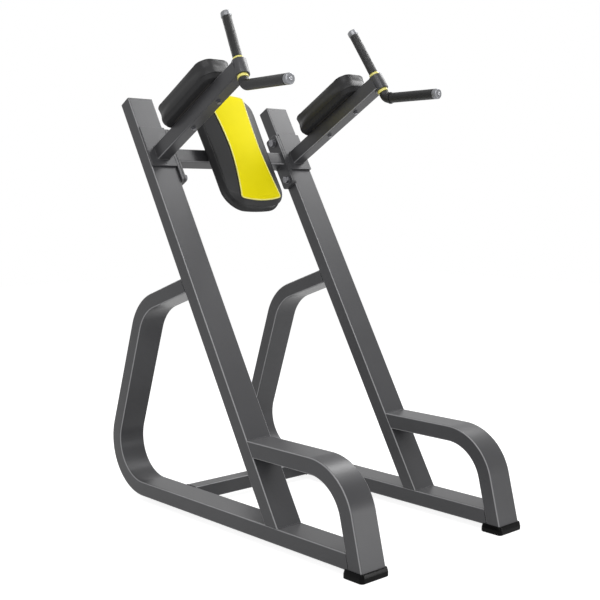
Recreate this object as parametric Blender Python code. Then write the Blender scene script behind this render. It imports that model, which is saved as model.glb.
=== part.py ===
# Vertical knee raise station: two bent-tube side frames joined by crossbars, a padded back rest
# and two padded forearm rests, each ending in a swivelling L-shaped dip handle.
# Metres, +Z up, the user stands in front of the back rest, towards -Y.
# The origin is on the floor, under the middle of the whole machine.
import math

import bmesh
import bpy
from mathutils import Matrix, Vector

# Fit and tube stock
GAP = 0.0003                  # clearance between pieces that touch or are welded
TUBE_WIDTH = 0.100            # side frame tube across the machine
TUBE_DEPTH = 0.050            # the same tube in the plane of the side frame
TUBE_WALL = 0.003
TUBE_CORNER = 0.005           # outside corner radius of all square tube
SMALL_TUBE = 0.050            # square tube of the arms and crossbars
BEND_RADIUS = 0.156           # centre line radius of every frame bend
BEND_STEP = math.radians(11)  # turn of one facet in a frame bend

# Side frames
FRAME_X = 0.3094              # centre plane of each side frame
FOOT_HEIGHT = 0.0215
BASE_BOTTOM = FOOT_HEIGHT + GAP
BASE_TOP = BASE_BOTTOM + TUBE_DEPTH
UPRIGHT_LEAN = math.radians(30)
UPRIGHT_LENGTH = 1.5215
UPRIGHT_FOOT_Y = -0.2676      # front face of the upright where it stands on the base tube
LEG_LEAN = math.radians(14)
LEG_CORNER_Y = -0.5247        # centre lines of the leg and of the front loop's top meet here
FRONT_LOOP_Z = 0.2906
REAR_LEAN = math.radians(19)
REAR_CORNER_Y = 0.6637        # centre lines of the base and of the rear tube meet here
REAR_TOP_Z = 0.6845
REAR_RUN = 0.38               # the rear tube's top stretch, before the upright cuts it off

# Feet and floor crossbar
FRONT_FOOT_SIZE = (0.113, 0.0795, 0.0265)
FRONT_FOOT_Y = -0.5861
FRONT_FOOT_CORNER = 0.012
FRONT_FOOT_EDGE = 0.003
FRONT_FOOT_RIM = 0.0079       # rubber in front of the leg
REAR_FOOT_RADIUS = 0.022
REAR_FOOT_EDGE = 0.002
REAR_FOOT_INSET = 0.021       # towards the machine's middle, from the tube's centre
REAR_FOOT_Y = 0.378
FLOOR_BAR_Y = 0.293           # centre of the floor crossbar

# Heights up the uprights, from where they stand on the base, and depths in front of them
ARM_HEIGHT = 1.3023
ARM_X = 0.3052
ARM_PLATE = (1.2532, 1.4044)
ARM_PLATE_THICKNESS = 0.008
ARM_PLATE_CORNER = 0.003
SIDE_PLATE = (1.1955, 1.4020)
SIDE_PLATE_THICKNESS = 0.019
SIDE_PLATE_CORNER = 0.009
SIDE_PLATE_BOLTS = (1.2182, 1.3751)
SIDE_PLATE_BOLT_DEPTH = 0.0132
CAP_THICKNESS = 0.003
CAP_SPIGOT = 0.020

# Bolts: head height, width across flats, flange radius, flange height, shank radius
PLATE_BOLT = (0.0115, 0.023, 0.0147, 0.003, 0.008)
PLATE_BOLT_LENGTH = 0.033
PLATE_HOLE_RADIUS = 0.0085
PAD_BOLT = (0.0055, 0.013, 0.009, 0.0016, 0.004)
PAD_BOLT_GRIP = 0.010         # length in the board and its nut
PAD_HOLE_RADIUS = 0.0045

# Forearm rests
PAD_BOARD = 0.012             # plywood under every cushion
BOARD_SHARE = 0.88            # size of a board beside its cushion's outline
ARM_PAD_BACK = 0.1115         # the cushion's rear end, in front of the upright
ARM_PAD_FRONT = 0.412
ARM_PAD_HALF_WIDTH = 0.0652
ARM_PAD_CORNER = 0.0435
ARM_PAD_SIDE = 0.0548         # height of the side wall
ARM_PAD_CROWN = 0.0060
ARM_BOLTS = (0.2003, 0.3506)

# Back rest
BACK_PAD_BOTTOM = 1.0655
BACK_PAD_TOP = 1.5187
BACK_PAD_HALF_WIDTH = 0.1335
BACK_PAD_TAPER = 0.0035        # wider by this at the top, narrower at the bottom
BACK_PAD_WAIST = 0.0038       # drawn in on each side at the waist
BACK_PAD_BOTTOM_CORNER = 0.0740
BACK_PAD_TOP_CORNER = 0.0560
BACK_PAD_BOW = 0.0140         # both ends bow out by this much between their corners
BACK_PAD_MIDDLE = 1.2976
BACK_PAD_SHOULDER = 0.0525    # depth of the crease around the cushion's front
BACK_PAD_FRONT = 0.0778       # depth of the panel's rim at the middle
BACK_PAD_ARCH = 0.0085        # the rim lies this much lower at both ends
BACK_PAD_CROWN = 0.0038
PANEL_THICKNESS = 0.002
PANEL_BOTTOM = 1.0868
PANEL_TOP = 1.5130
PANEL_WIDE = (0.0865, 0.0800)  # half width at the bottom and at the top
PANEL_WAIST = 0.0630          # half width at the middle
PANEL_CORNER = 0.0070
PANEL_BOW = 0.0110
BACK_PLATE = (0.113, 0.151)
BACK_PLATE_THICKNESS = 0.006
BACK_BOLT_X = 0.038
BACK_BOLT_Z = 0.055

# Swivelling handles, measured along the sleeve's axis from the sleeve's middle
HANDLE_REACH = 0.4914         # in front of the upright
HANDLE_TILT = math.radians(7)
SLEEVE_RADIUS = 0.0236
SLEEVE_BORE = 0.0165
SLEEVE_HALF = 0.0274
BUSH_RADIUS = 0.0161
BUSH_BORE = 0.0130
BUSH_DEPTH = 0.019
BUSH_FLANGE_RADIUS = 0.0180
BUSH_FLANGE = 0.0095
BAR_RADIUS = 0.0125
BAR_BORE = 0.0095
BAR_CORNER = 0.0614           # the bar's two legs meet this far below the sleeve's middle
BAR_BEND_RADIUS = 0.0227
BAR_TURN = math.radians(60)
BAR_STEP = math.radians(16)   # turn of one facet in the bar's bend
BAR_PAST_GRIP = 0.004         # the bar goes on into its end caps
GRIP_START = 0.0397
UPPER_GRIP_RADIUS = 0.0156
UPPER_GRIP_END = 0.1928
LOWER_GRIP_RADIUS = 0.0170
LOWER_GRIP_END = 0.2014       # along the lower leg, from the corner
GRIP_COLLAR_RADIUS = 0.0200
GRIP_COLLAR = (0.0142, 0.0208)  # along the lower leg
CAP_RADIUS = 0.0172
CAP_LENGTH = 0.0198
CAP_SEAT = 0.0045             # the cap's flange starts just past the bar's end
CAP_DEPTH = 0.010             # length of the cap's spigot in the bar
SCREW_RADIUS = 0.0030
SCREW_HEAD_RADIUS = 0.0058
SCREW_HEAD_HEIGHT = 0.0028
ROUND = 16                    # facets round the handle's pieces
SLEEVE_ROUND = 20
ROD_ROUND = 12                # facets round a bolt, a screw or a drilled hole

SIDES = (("left", -1), ("right", 1))


def finish(name, colour, roughness, metallic):
    """A plain finish, its colour given as linear red, green and blue."""
    material = bpy.data.materials.new(name)
    material.use_nodes = True
    shader = material.node_tree.nodes["Principled BSDF"]
    shader.inputs["Base Color"].default_value = (*colour, 1.0)
    shader.inputs["Roughness"].default_value = roughness
    shader.inputs["Metallic"].default_value = metallic
    material.diffuse_color = (*colour, 1.0)
    return material


# Rings and outlines

def rounded_rectangle(width, depth, radius, steps=1):
    """Corner points of a rounded rectangle about the origin, counter-clockwise."""
    points = []
    for corner in range(4):
        cx = (width / 2 - radius) * (1 if corner in (0, 3) else -1)
        cy = (depth / 2 - radius) * (1 if corner in (0, 1) else -1)
        for step in range(steps + 1):
            angle = math.pi / 2 * (corner + step / steps)
            points.append((cx + radius * math.cos(angle), cy + radius * math.sin(angle)))
    return points


def circle(radius, count=ROUND):
    """Points of a regular polygon in place of a circle."""
    return [(radius * math.cos(math.tau * k / count), radius * math.sin(math.tau * k / count))
            for k in range(count)]


def hexagon(across_flats):
    """A hexagon given as 12 points, its corners and the middles of its sides."""
    flat = across_flats / 2
    corner = flat / math.cos(math.pi / 6)
    return [((corner if k % 2 else flat) * math.cos(math.pi / 6 * k),
             (corner if k % 2 else flat) * math.sin(math.pi / 6 * k)) for k in range(12)]


def level(outline, height):
    """An outline laid flat at a height."""
    return [Vector((x, y, height)) for x, y in outline]


def bent_path(corners, radius, step):
    """Points and directions along a path in the Y-Z plane whose corners are rounded."""
    corners = [Vector(corner) for corner in corners]
    path = [(corners[0], (corners[1] - corners[0]).normalized())]
    for before, corner, after in zip(corners, corners[1:], corners[2:]):
        arrive = (corner - before).normalized()
        leave = (after - corner).normalized()
        turn = arrive.angle_signed(leave)
        tangent = radius * math.tan(abs(turn) / 2)
        side = 1 if turn < 0 else -1
        centre = corner - arrive * tangent + Vector((-arrive.y, arrive.x)) * radius * side
        count = math.ceil(abs(turn) / step)
        for k in range(count + 1):
            spin = Matrix.Rotation(side * abs(turn) * k / count, 2)
            radial = spin @ (corner - arrive * tangent - centre)
            path.append((centre + radial, spin @ arrive))
    path.append((corners[-1], (corners[-1] - corners[-2]).normalized()))
    return path


def ring_at(place, outline):
    """An outline set square to the path at one of its places."""
    point, along = place
    across = Vector((-along.y, along.x))
    ring = []
    for x, offset in outline:
        spot = point + across * offset
        ring.append(Vector((x, spot.x, spot.y)))
    return ring


def slide_to_plane(ring, along, origin, normal):
    """Moves a ring's points along the path until they lie on a plane."""
    direction = Vector((0, along.x, along.y))
    return [point + direction * (origin - point).dot(normal) / direction.dot(normal)
            for point in ring]


# Solids

def loft(mesh, rings, closed=False):
    """Skins rings of equal count, as a loop of rings or with a flat face on each end."""
    rows = [[mesh.verts.new(point) for point in ring] for ring in rings]
    pairs = list(zip(rows, rows[1:]))
    if closed:
        pairs.append((rows[-1], rows[0]))
    for low, high in pairs:
        for k in range(len(low)):
            n = (k + 1) % len(low)
            mesh.faces.new((low[k], low[n], high[n], high[k]))
    if not closed:
        mesh.faces.new(rows[0])
        mesh.faces.new(rows[-1])


def solid(rings):
    """A mesh from a list of rings, or a hollow one from a pair of lists: outer and inner."""
    mesh = bmesh.new()
    if isinstance(rings, tuple):
        outer, inner = rings
        loft(mesh, outer + inner[::-1], closed=True)
    else:
        loft(mesh, rings)
    bmesh.ops.recalc_face_normals(mesh, faces=mesh.faces)
    return mesh


def piece(name, mesh, material, parent=None, location=(0, 0, 0), rotation=(0, 0, 0), smooth=None):
    """Makes one named object, with smooth shading up to an angle where it is round."""
    data = bpy.data.meshes.new(name)
    mesh.to_mesh(data)
    mesh.free()
    data.materials.append(material)
    if smooth is not None:
        data.shade_smooth()
        data.set_sharp_from_angle(angle=math.radians(smooth))
    made = bpy.data.objects.new(name, data)
    bpy.context.scene.collection.objects.link(made)
    made.parent = parent
    made.location = location
    made.rotation_euler = rotation
    return made


def empty(name, location, rotation=(0, 0, 0), parent=None):
    """An empty that carries the pieces of one leaning or turning assembly."""
    made = bpy.data.objects.new(name, None)
    bpy.context.scene.collection.objects.link(made)
    made.parent = parent
    made.location = location
    made.rotation_euler = rotation
    return made


def cut(target, name, mesh, location=(0, 0, 0), rotation=(0, 0, 0)):
    """Cuts a solid, placed in the target's own parent, out of the target."""
    data = bpy.data.meshes.new(name)
    mesh.to_mesh(data)
    mesh.free()
    cutter = bpy.data.objects.new(name, data)
    bpy.context.scene.collection.objects.link(cutter)
    cutter.parent = target.parent
    cutter.location = location
    cutter.rotation_euler = rotation
    cutter.hide_render = True
    cutter.display_type = 'WIRE'
    modifier = target.modifiers.new(name, 'BOOLEAN')
    modifier.operation = 'DIFFERENCE'
    modifier.object = cutter


def rod(radius, low, high, count=ROD_ROUND):
    """A plain cylinder along Z."""
    return [level(circle(radius, count), low), level(circle(radius, count), high)]


def box(size):
    """Two rings of a plain box about the origin."""
    x, y, z = (side / 2 for side in size)
    outline = [(x, y), (-x, y), (-x, -y), (x, -y)]
    return [level(outline, -z), level(outline, z)]


def plate(size, corner, steps=1):
    """A flat plate about the origin, thin along Z, with round corners."""
    width, depth, thickness = size
    outline = rounded_rectangle(width, depth, corner, steps)
    return [level(outline, -thickness / 2), level(outline, thickness / 2)]


def bolt(sizes, shank_length):
    """A flanged hexagon bolt along Z. Its shank points up from z = 0 and its head hangs below."""
    head_height, across_flats, flange_radius, flange_height, shank_radius = sizes
    return [level(hexagon(across_flats), -flange_height - head_height),
            level(hexagon(across_flats), -flange_height),
            level(circle(flange_radius, ROD_ROUND), -flange_height),
            level(circle(flange_radius, ROD_ROUND), 0),
            level(circle(shank_radius, ROD_ROUND), 0),
            level(circle(shank_radius, ROD_ROUND), shank_length)]


def moved(rings, offset=(0, 0, 0), turn=None):
    """Rings turned by a matrix and then shifted."""
    turn = turn or Matrix.Identity(3)
    return [[turn @ point + Vector(offset) for point in ring] for ring in rings]


TO_BACK = Matrix.Rotation(math.radians(90), 3, 'X')      # +Z of a shape to -Y
TO_RIGHT = Matrix.Rotation(math.radians(90), 3, 'Y')     # +Z of a shape to +X
TO_LEFT = Matrix.Rotation(math.radians(-90), 3, 'Y')     # +Z of a shape to -X


# Side frames, in world axes

def tube_outlines(width, depth):
    """Outer and inner outline of a square tube."""
    return (rounded_rectangle(width, depth, TUBE_CORNER),
            rounded_rectangle(width - 2 * TUBE_WALL, depth - 2 * TUBE_WALL,
                              TUBE_CORNER - TUBE_WALL))


def frame_tube(path, start_plane, end_plane):
    """Outer and inner rings of a bent frame tube, its ends cut on two planes."""
    walls = []
    for outline in tube_outlines(TUBE_WIDTH, TUBE_DEPTH):
        rings = [ring_at(place, outline) for place in path]
        rings[0] = slide_to_plane(rings[0], path[0][1], *start_plane)
        rings[-1] = slide_to_plane(rings[-1], path[-1][1], *end_plane)
        walls.append(rings)
    return tuple(walls)


def upright_face(depth):
    """Plane parallel to the uprights' front face, this far behind it."""
    normal = Vector((0, math.cos(UPRIGHT_LEAN), -math.sin(UPRIGHT_LEAN)))
    return Vector((0, UPRIGHT_FOOT_Y, BASE_TOP)) + normal * depth, normal


def front_loop_path():
    """Centre line of the front loop, from the upright forwards and down to the foot."""
    toe_y = LEG_CORNER_Y - math.tan(LEG_LEAN) * (FRONT_LOOP_Z - BASE_BOTTOM)
    return bent_path([(UPRIGHT_FOOT_Y, FRONT_LOOP_Z), (LEG_CORNER_Y, FRONT_LOOP_Z),
                      (toe_y, BASE_BOTTOM)], BEND_RADIUS, BEND_STEP)


def rear_loop_path():
    """Centre line of the rear loop: along the floor, up behind the user and on to the upright."""
    base_z = BASE_BOTTOM + TUBE_DEPTH / 2
    top_y = REAR_CORNER_Y - math.tan(REAR_LEAN) * (REAR_TOP_Z - base_z)
    end_y = top_y - REAR_RUN * math.cos(REAR_LEAN)
    end_z = REAR_TOP_Z + REAR_RUN * math.sin(REAR_LEAN)
    return bent_path([(LEG_CORNER_Y, base_z), (REAR_CORNER_Y, base_z), (top_y, REAR_TOP_Z),
                      (end_y, end_z)], BEND_RADIUS, BEND_STEP)


def leg_back():
    """Plane of the leg's back face."""
    normal = Vector((0, math.cos(LEG_LEAN), -math.sin(LEG_LEAN)))
    return Vector((0, LEG_CORNER_Y, FRONT_LOOP_Z)) + normal * (TUBE_DEPTH / 2 + GAP), normal


def side_frame(side, sign, paint, rubber):
    """Front loop, rear loop and feet of one side frame."""
    x = sign * FRAME_X
    floor_plane = (Vector((0, 0, BASE_BOTTOM)), Vector((0, 0, 1)))
    piece(side + "_front_loop",
          solid(frame_tube(front_loop_path(), upright_face(-GAP), floor_plane)),
          paint, location=(x, 0, 0), smooth=30)
    piece(side + "_rear_loop",
          solid(frame_tube(rear_loop_path(), leg_back(), upright_face(TUBE_DEPTH + GAP))),
          paint, location=(x, 0, 0), smooth=30)
    front_foot(side, x, rubber)
    rear_foot(side, sign * (FRAME_X - REAR_FOOT_INSET), rubber)


def front_foot(side, x, rubber):
    """Moulded boot under the leg, with a rim in front of it and beside it."""
    width, length, height = FRONT_FOOT_SIZE
    corner = FRONT_FOOT_CORNER
    edge = FRONT_FOOT_EDGE
    full = rounded_rectangle(width, length, corner, 3)
    small = rounded_rectangle(width - 2 * edge, length - 2 * edge, corner - edge, 3)
    foot = piece(side + "_front_foot",
                 solid([level(small, 0), level(full, edge), level(full, height - edge / 2),
                        level(small, height)]),
                 rubber, location=(x, FRONT_FOOT_Y, 0), smooth=50)
    pocket = (TUBE_WIDTH + 4 * GAP, length, height)
    cut(foot, side + "_foot_pocket", solid(box(pocket)),
        location=(x, FRONT_FOOT_Y + FRONT_FOOT_RIM, FOOT_HEIGHT + height / 2))


def rear_foot(side, x, rubber):
    """Round rubber foot under the inner half of the base tube."""
    edge = REAR_FOOT_EDGE
    piece(side + "_rear_foot",
          solid([level(circle(REAR_FOOT_RADIUS - edge, 24), 0),
                 level(circle(REAR_FOOT_RADIUS, 24), edge),
                 level(circle(REAR_FOOT_RADIUS - edge, 24), FOOT_HEIGHT)]),
          rubber, location=(x, REAR_FOOT_Y, 0), smooth=30)


def square_bar(half_length):
    """Outer and inner rings of a square crossbar along X."""
    return tuple(moved([level(outline, -half_length), level(outline, half_length)], turn=TO_RIGHT)
                 for outline in tube_outlines(SMALL_TUBE, SMALL_TUBE))


# Pieces on the uprights, in the leaning frame: Y runs back from their front face, Z up along them

def upright(side, sign, lean, paint):
    """Straight leaning post, cut level where it stands on the base tube."""
    level_up = Matrix.Rotation(UPRIGHT_LEAN, 3, 'X') @ Vector((0, 0, 1))
    path = bent_path([(TUBE_DEPTH / 2, 0), (TUBE_DEPTH / 2, UPRIGHT_LENGTH)], 0, 1)
    bottom = (level_up * GAP, level_up)
    top = (Vector((0, 0, UPRIGHT_LENGTH)), Vector((0, 0, 1)))
    post = piece(side + "_upright", solid(frame_tube(path, bottom, top)), paint, lean,
                 location=(sign * FRAME_X, 0, 0))
    for number, height in enumerate(SIDE_PLATE_BOLTS):
        drill = solid(rod(PLATE_HOLE_RADIUS, -2 * TUBE_WALL, 2 * TUBE_WALL))
        cut(post, "%s_upright_hole_%d" % (side, number), drill,
            location=(sign * (FRAME_X - TUBE_WIDTH / 2), SIDE_PLATE_BOLT_DEPTH, height),
            rotation=(0, math.radians(90), 0))


def upright_cap(side, sign, lean, paint):
    """Closing cap with a spigot in the tube."""
    inside = TUBE_WALL + GAP
    edge = CAP_THICKNESS / 3
    outline = rounded_rectangle(TUBE_WIDTH, TUBE_DEPTH, TUBE_CORNER)
    spigot = rounded_rectangle(TUBE_WIDTH - 2 * inside, TUBE_DEPTH - 2 * inside,
                               TUBE_CORNER - inside)
    top = rounded_rectangle(TUBE_WIDTH - 2 * edge, TUBE_DEPTH - 2 * edge, TUBE_CORNER - edge)
    piece(side + "_upright_cap",
          solid([level(spigot, -CAP_SPIGOT), level(spigot, GAP), level(outline, GAP),
                 level(outline, CAP_THICKNESS - edge), level(top, CAP_THICKNESS)]),
          paint, lean, location=(sign * FRAME_X, TUBE_DEPTH / 2, UPRIGHT_LENGTH))


def side_plate(side, sign, lean, paint):
    """Thick plate beside the upright, which carries the crossbar and takes the two bolts."""
    low, high = SIDE_PLATE
    thickness = SIDE_PLATE_THICKNESS - GAP
    depth = TUBE_DEPTH + ARM_PLATE_THICKNESS
    x = sign * (FRAME_X - TUBE_WIDTH / 2 - GAP - thickness / 2)
    rings = moved(plate((high - low, depth, thickness), SIDE_PLATE_CORNER, 2), turn=TO_RIGHT)
    block = piece(side + "_side_plate", solid(rings), paint, lean,
                  location=(x, (TUBE_DEPTH - ARM_PLATE_THICKNESS) / 2, (low + high) / 2))
    for number, height in enumerate(SIDE_PLATE_BOLTS):
        drill = solid(rod(PLATE_HOLE_RADIUS, -thickness, thickness))
        cut(block, "%s_plate_hole_%d" % (side, number), drill,
            location=(x, SIDE_PLATE_BOLT_DEPTH, height), rotation=(0, math.radians(90), 0))


def side_plate_bolts(side, sign, lean, steel):
    """The two flanged bolts through the side plate into the upright."""
    head_x = sign * (FRAME_X - TUBE_WIDTH / 2 - SIDE_PLATE_THICKNESS - GAP)
    turn = TO_RIGHT if sign > 0 else TO_LEFT
    for which, height in zip(("lower", "upper"), SIDE_PLATE_BOLTS):
        shape = moved(bolt(PLATE_BOLT, PLATE_BOLT_LENGTH), turn=turn)
        piece("%s_plate_bolt_%s" % (side, which), solid(shape), steel, lean,
              location=(head_x, SIDE_PLATE_BOLT_DEPTH, height), smooth=30)


def arm_plate(side, sign, lean, paint):
    """Plate on the front of the upright that the arm is welded to."""
    low, high = ARM_PLATE
    width = TUBE_WIDTH - GAP
    thickness = ARM_PLATE_THICKNESS - GAP
    rings = moved(plate((width, high - low, thickness), ARM_PLATE_CORNER), turn=TO_BACK)
    piece(side + "_arm_plate", solid(rings), paint, lean,
          location=(sign * (FRAME_X + GAP / 2), -GAP - thickness / 2, (low + high) / 2))


def arm(side, sign, lean, paint):
    """Square arm from the plate forwards to the handle's sleeve, coped round it and drilled."""
    x = sign * ARM_X
    path = [(Vector((-ARM_PLATE_THICKNESS - GAP, ARM_HEIGHT)), Vector((-1, 0))),
            (Vector((-HANDLE_REACH, ARM_HEIGHT)), Vector((-1, 0)))]
    walls = tuple([ring_at(place, outline) for place in path]
                  for outline in tube_outlines(SMALL_TUBE, SMALL_TUBE))
    tube = piece(side + "_arm", solid(walls), paint, lean, location=(x, 0, 0))
    cope = solid(rod(SLEEVE_RADIUS + GAP, -SMALL_TUBE, SMALL_TUBE, SLEEVE_ROUND))
    cut(tube, side + "_arm_cope", cope,
        location=(x, -HANDLE_REACH, ARM_HEIGHT), rotation=(0, -sign * HANDLE_TILT, 0))
    for number, reach in enumerate(ARM_BOLTS):
        drill = solid(rod(PAD_HOLE_RADIUS, -SMALL_TUBE, SMALL_TUBE))
        cut(tube, "%s_arm_hole_%d" % (side, number), drill, location=(x, -reach, ARM_HEIGHT))


def cushion_outline(half_width, low, high, low_corner, high_corner, sides=5, ends=3, turns=4):
    """Outline of a cushion or panel: two sides whose half width is a function of the height
    along them, two ends and four round corners, with the same points in the same order."""
    def corner(centre_y, corner_radius, start):
        centre_x = half_width(centre_y) - corner_radius
        return [(centre_x + corner_radius * math.cos(start + math.pi / 2 * k / turns),
                 centre_y + corner_radius * math.sin(start + math.pi / 2 * k / turns))
                for k in range(turns + 1)]

    def mirrored(points):
        return [(-x, y) for x, y in reversed(points)]

    def spread(first, last, count):
        return [first + (last - first) * (k + 1) / (count + 1) for k in range(count)]

    first, last = low + low_corner, high - high_corner
    side = [(half_width(y), y) for y in spread(first, last, sides)]
    upper = corner(last, high_corner, 0)
    lower = corner(first, low_corner, -math.pi / 2)
    top = [(x, high) for x in spread(upper[-1][0], -upper[-1][0], ends)]
    bottom = [(x, low) for x in spread(-lower[0][0], lower[0][0], ends)]
    right = lower + side + upper
    return right + top + mirrored(right) + bottom


def bowed(outline, bow, low, high):
    """An outline whose ends, at a low and a high point along its second axis, bow out between
    their corners."""
    middle = (low + high) / 2
    half = (high - low) / 2
    half_width = max(x for x, _ in outline)
    return [(x, y - bow * (x / half_width) ** 2 * (y - middle) / half) for x, y in outline]


def toward_spine(outline, factor, low, high):
    """An outline drawn in towards a spine that runs from a low to a high point along its
    second axis."""
    drawn = []
    for x, y in outline:
        spine = max(low, min(high, y))
        drawn.append((x * factor, spine + (y - spine) * factor))
    return drawn


def arm_pad(side, sign, lean, vinyl, wood):
    """Forearm cushion with a crowned top and drawn-in sides, on its plywood board."""
    base = ARM_HEIGHT + SMALL_TUBE / 2 + GAP
    place = (sign * ARM_X, 0, base)
    spine = (-ARM_PAD_FRONT + ARM_PAD_HALF_WIDTH, -ARM_PAD_BACK - ARM_PAD_HALF_WIDTH)
    outline = cushion_outline(lambda y: ARM_PAD_HALF_WIDTH, -ARM_PAD_FRONT, -ARM_PAD_BACK,
                              ARM_PAD_CORNER, ARM_PAD_CORNER, sides=3, ends=1)
    board = toward_spine(outline, BOARD_SHARE, *spine)
    ply = piece(side + "_arm_pad_board", solid([level(board, 0), level(board, PAD_BOARD)]),
                wood, lean, location=place)
    for number, reach in enumerate(ARM_BOLTS):
        drill = solid(rod(PAD_HOLE_RADIUS, -2 * PAD_BOARD, 2 * PAD_BOARD))
        cut(ply, "%s_board_hole_%d" % (side, number), drill, location=(place[0], -reach, base))
    rings = []
    # Share of the outline and share of the side wall's height: widest near the board, drawn in
    # half way up, with a rounded top edge
    for factor, share in ((0.960, 0), (1.000, 0.10), (0.975, 0.50), (0.985, 0.88), (0.950, 1)):
        rings.append(level(toward_spine(outline, factor, *spine), ARM_PAD_SIDE * share))
    for factor in (0.74, 0.40):
        swell = ARM_PAD_CROWN * (1 - factor ** 2)
        rings.append(level(toward_spine(outline, factor, *spine), ARM_PAD_SIDE + swell))
    piece(side + "_arm_pad", solid(rings), vinyl, lean,
          location=(place[0], 0, base + PAD_BOARD + GAP), smooth=40)


def arm_pad_bolts(side, sign, lean, steel):
    """Two bolts up through the arm into the cushion's board."""
    bottom = ARM_HEIGHT - SMALL_TUBE / 2 - GAP
    for which, reach in zip(("rear", "front"), ARM_BOLTS):
        shape = bolt(PAD_BOLT, SMALL_TUBE + PAD_BOLT_GRIP)
        piece("%s_arm_pad_bolt_%s" % (side, which), solid(shape), steel, lean,
              location=(sign * ARM_X, -reach, bottom), smooth=30)


# Handles, in the frame of the sleeve: Z along its axis, the lower leg towards -Y

def handle_path():
    """Centre line of the bar, from its upper end down through the bend to its lower end."""
    lower, _ = lower_leg_place(LOWER_GRIP_END + BAR_PAST_GRIP)
    return bent_path([(0, UPPER_GRIP_END + BAR_PAST_GRIP), (0, -BAR_CORNER), lower],
                     BAR_BEND_RADIUS, BAR_STEP)


def lower_leg_place(distance):
    """Point and direction on the lower leg, this far from the corner."""
    along = Vector((-math.sin(BAR_TURN), -math.cos(BAR_TURN)))
    return Vector((0, -BAR_CORNER)) + along * distance, along


def turned(outer, inner, count=ROUND):
    """Rings of a turned piece along Z from its outer and inner profiles of (radius, height)."""
    return tuple([level(circle(radius, count), height) for radius, height in profile]
                 for profile in (outer, inner))


def sleeve(side, hinge, paint):
    """Welded sleeve that carries both bushes."""
    walls = turned([(SLEEVE_RADIUS, -SLEEVE_HALF), (SLEEVE_RADIUS, SLEEVE_HALF)],
                   [(SLEEVE_BORE, -SLEEVE_HALF), (SLEEVE_BORE, SLEEVE_HALF)], SLEEVE_ROUND)
    piece(side + "_handle_sleeve", solid(walls), paint, hinge, smooth=40)


def bush(name, hinge, plastic, up):
    """Flanged bush pressed into one end of the sleeve."""
    seat = SLEEVE_HALF + GAP
    inside = SLEEVE_HALF - BUSH_DEPTH
    outside = seat + BUSH_FLANGE
    outer = [(BUSH_RADIUS, inside), (BUSH_RADIUS, seat), (BUSH_FLANGE_RADIUS, seat),
             (BUSH_FLANGE_RADIUS, outside)]
    inner = [(BUSH_BORE, inside), (BUSH_BORE, outside)]
    walls = turned([(radius, up * height) for radius, height in outer],
                   [(radius, up * height) for radius, height in inner], SLEEVE_ROUND)
    piece(name, solid(walls), plastic, hinge, smooth=40)


def handle_bar(side, hinge, steel):
    """Bent tube that turns in the bushes."""
    path = handle_path()
    walls = tuple([ring_at(place, circle(radius)) for place in path]
                  for radius in (BAR_RADIUS, BAR_BORE))
    piece(side + "_handle_bar", solid(walls), steel, hinge, smooth=40)


def upper_grip(side, hinge, rubber):
    """Straight rubber grip on the bar's upper leg."""
    bore = BAR_RADIUS + GAP
    walls = turned([(UPPER_GRIP_RADIUS, GRIP_START), (UPPER_GRIP_RADIUS, UPPER_GRIP_END)],
                   [(bore, GRIP_START), (bore, UPPER_GRIP_END)])
    piece(side + "_upper_grip", solid(walls), rubber, hinge, smooth=40)


def lower_grip(side, hinge, rubber):
    """Rubber grip over the bend and the lower leg. The right one has a collar after the bend."""
    start = (Vector((0, -GRIP_START)), Vector((0, -1)))
    covered = [start] + handle_path()[1:-1]
    end = lower_leg_place(LOWER_GRIP_END)
    outer = [ring_at(place, circle(LOWER_GRIP_RADIUS)) for place in covered]
    if side == "right":
        near, far = GRIP_COLLAR
        for distance, radius in ((near, LOWER_GRIP_RADIUS), (near, GRIP_COLLAR_RADIUS),
                                 (far, GRIP_COLLAR_RADIUS), (far, LOWER_GRIP_RADIUS)):
            outer.append(ring_at(lower_leg_place(distance), circle(radius)))
    outer.append(ring_at(end, circle(LOWER_GRIP_RADIUS)))
    inner = [ring_at(place, circle(BAR_RADIUS + GAP)) for place in covered + [end]]
    piece(side + "_lower_grip", solid((outer, inner)), rubber, hinge, smooth=40)


def end_cap_rings():
    """Turned end cap along Z from z = 0, with a spigot in the bar and a bore for its screw."""
    spigot = BAR_BORE - GAP
    bore = SCREW_RADIUS + GAP
    edge = CAP_LENGTH / 7
    return turned([(spigot, -CAP_DEPTH), (spigot, CAP_SEAT), (CAP_RADIUS, CAP_SEAT),
                   (CAP_RADIUS, CAP_LENGTH - edge), (CAP_RADIUS - edge, CAP_LENGTH)],
                  [(bore, -CAP_DEPTH), (bore, CAP_LENGTH)])


def cap_screw_rings():
    """Button-head screw along Z that holds the end cap."""
    face = CAP_LENGTH + GAP
    profile = [(SCREW_RADIUS, -CAP_DEPTH / 2), (SCREW_RADIUS, face), (SCREW_HEAD_RADIUS, face),
               (SCREW_HEAD_RADIUS, face + SCREW_HEAD_HEIGHT / 3),
               (SCREW_HEAD_RADIUS * 0.6, face + SCREW_HEAD_HEIGHT)]
    return [level(circle(radius, ROD_ROUND), height) for radius, height in profile]


def end_caps(side, hinge, aluminium, steel):
    """Both end caps and their screws."""
    point, along = lower_leg_place(LOWER_GRIP_END)
    down_the_leg = Matrix.Rotation(math.pi - BAR_TURN, 3, 'X')
    places = (("upper", (0, 0, UPPER_GRIP_END), None),
              ("lower", (0, point.x, point.y), down_the_leg))
    for which, place, turn in places:
        walls = tuple(moved(wall, turn=turn) for wall in end_cap_rings())
        piece("%s_%s_end_cap" % (side, which), solid(walls), aluminium, hinge,
              location=place, smooth=40)
        piece("%s_%s_cap_screw" % (side, which), solid(moved(cap_screw_rings(), turn=turn)),
              steel, hinge, location=place, smooth=40)


# Back rest, in the leaning frame

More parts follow.
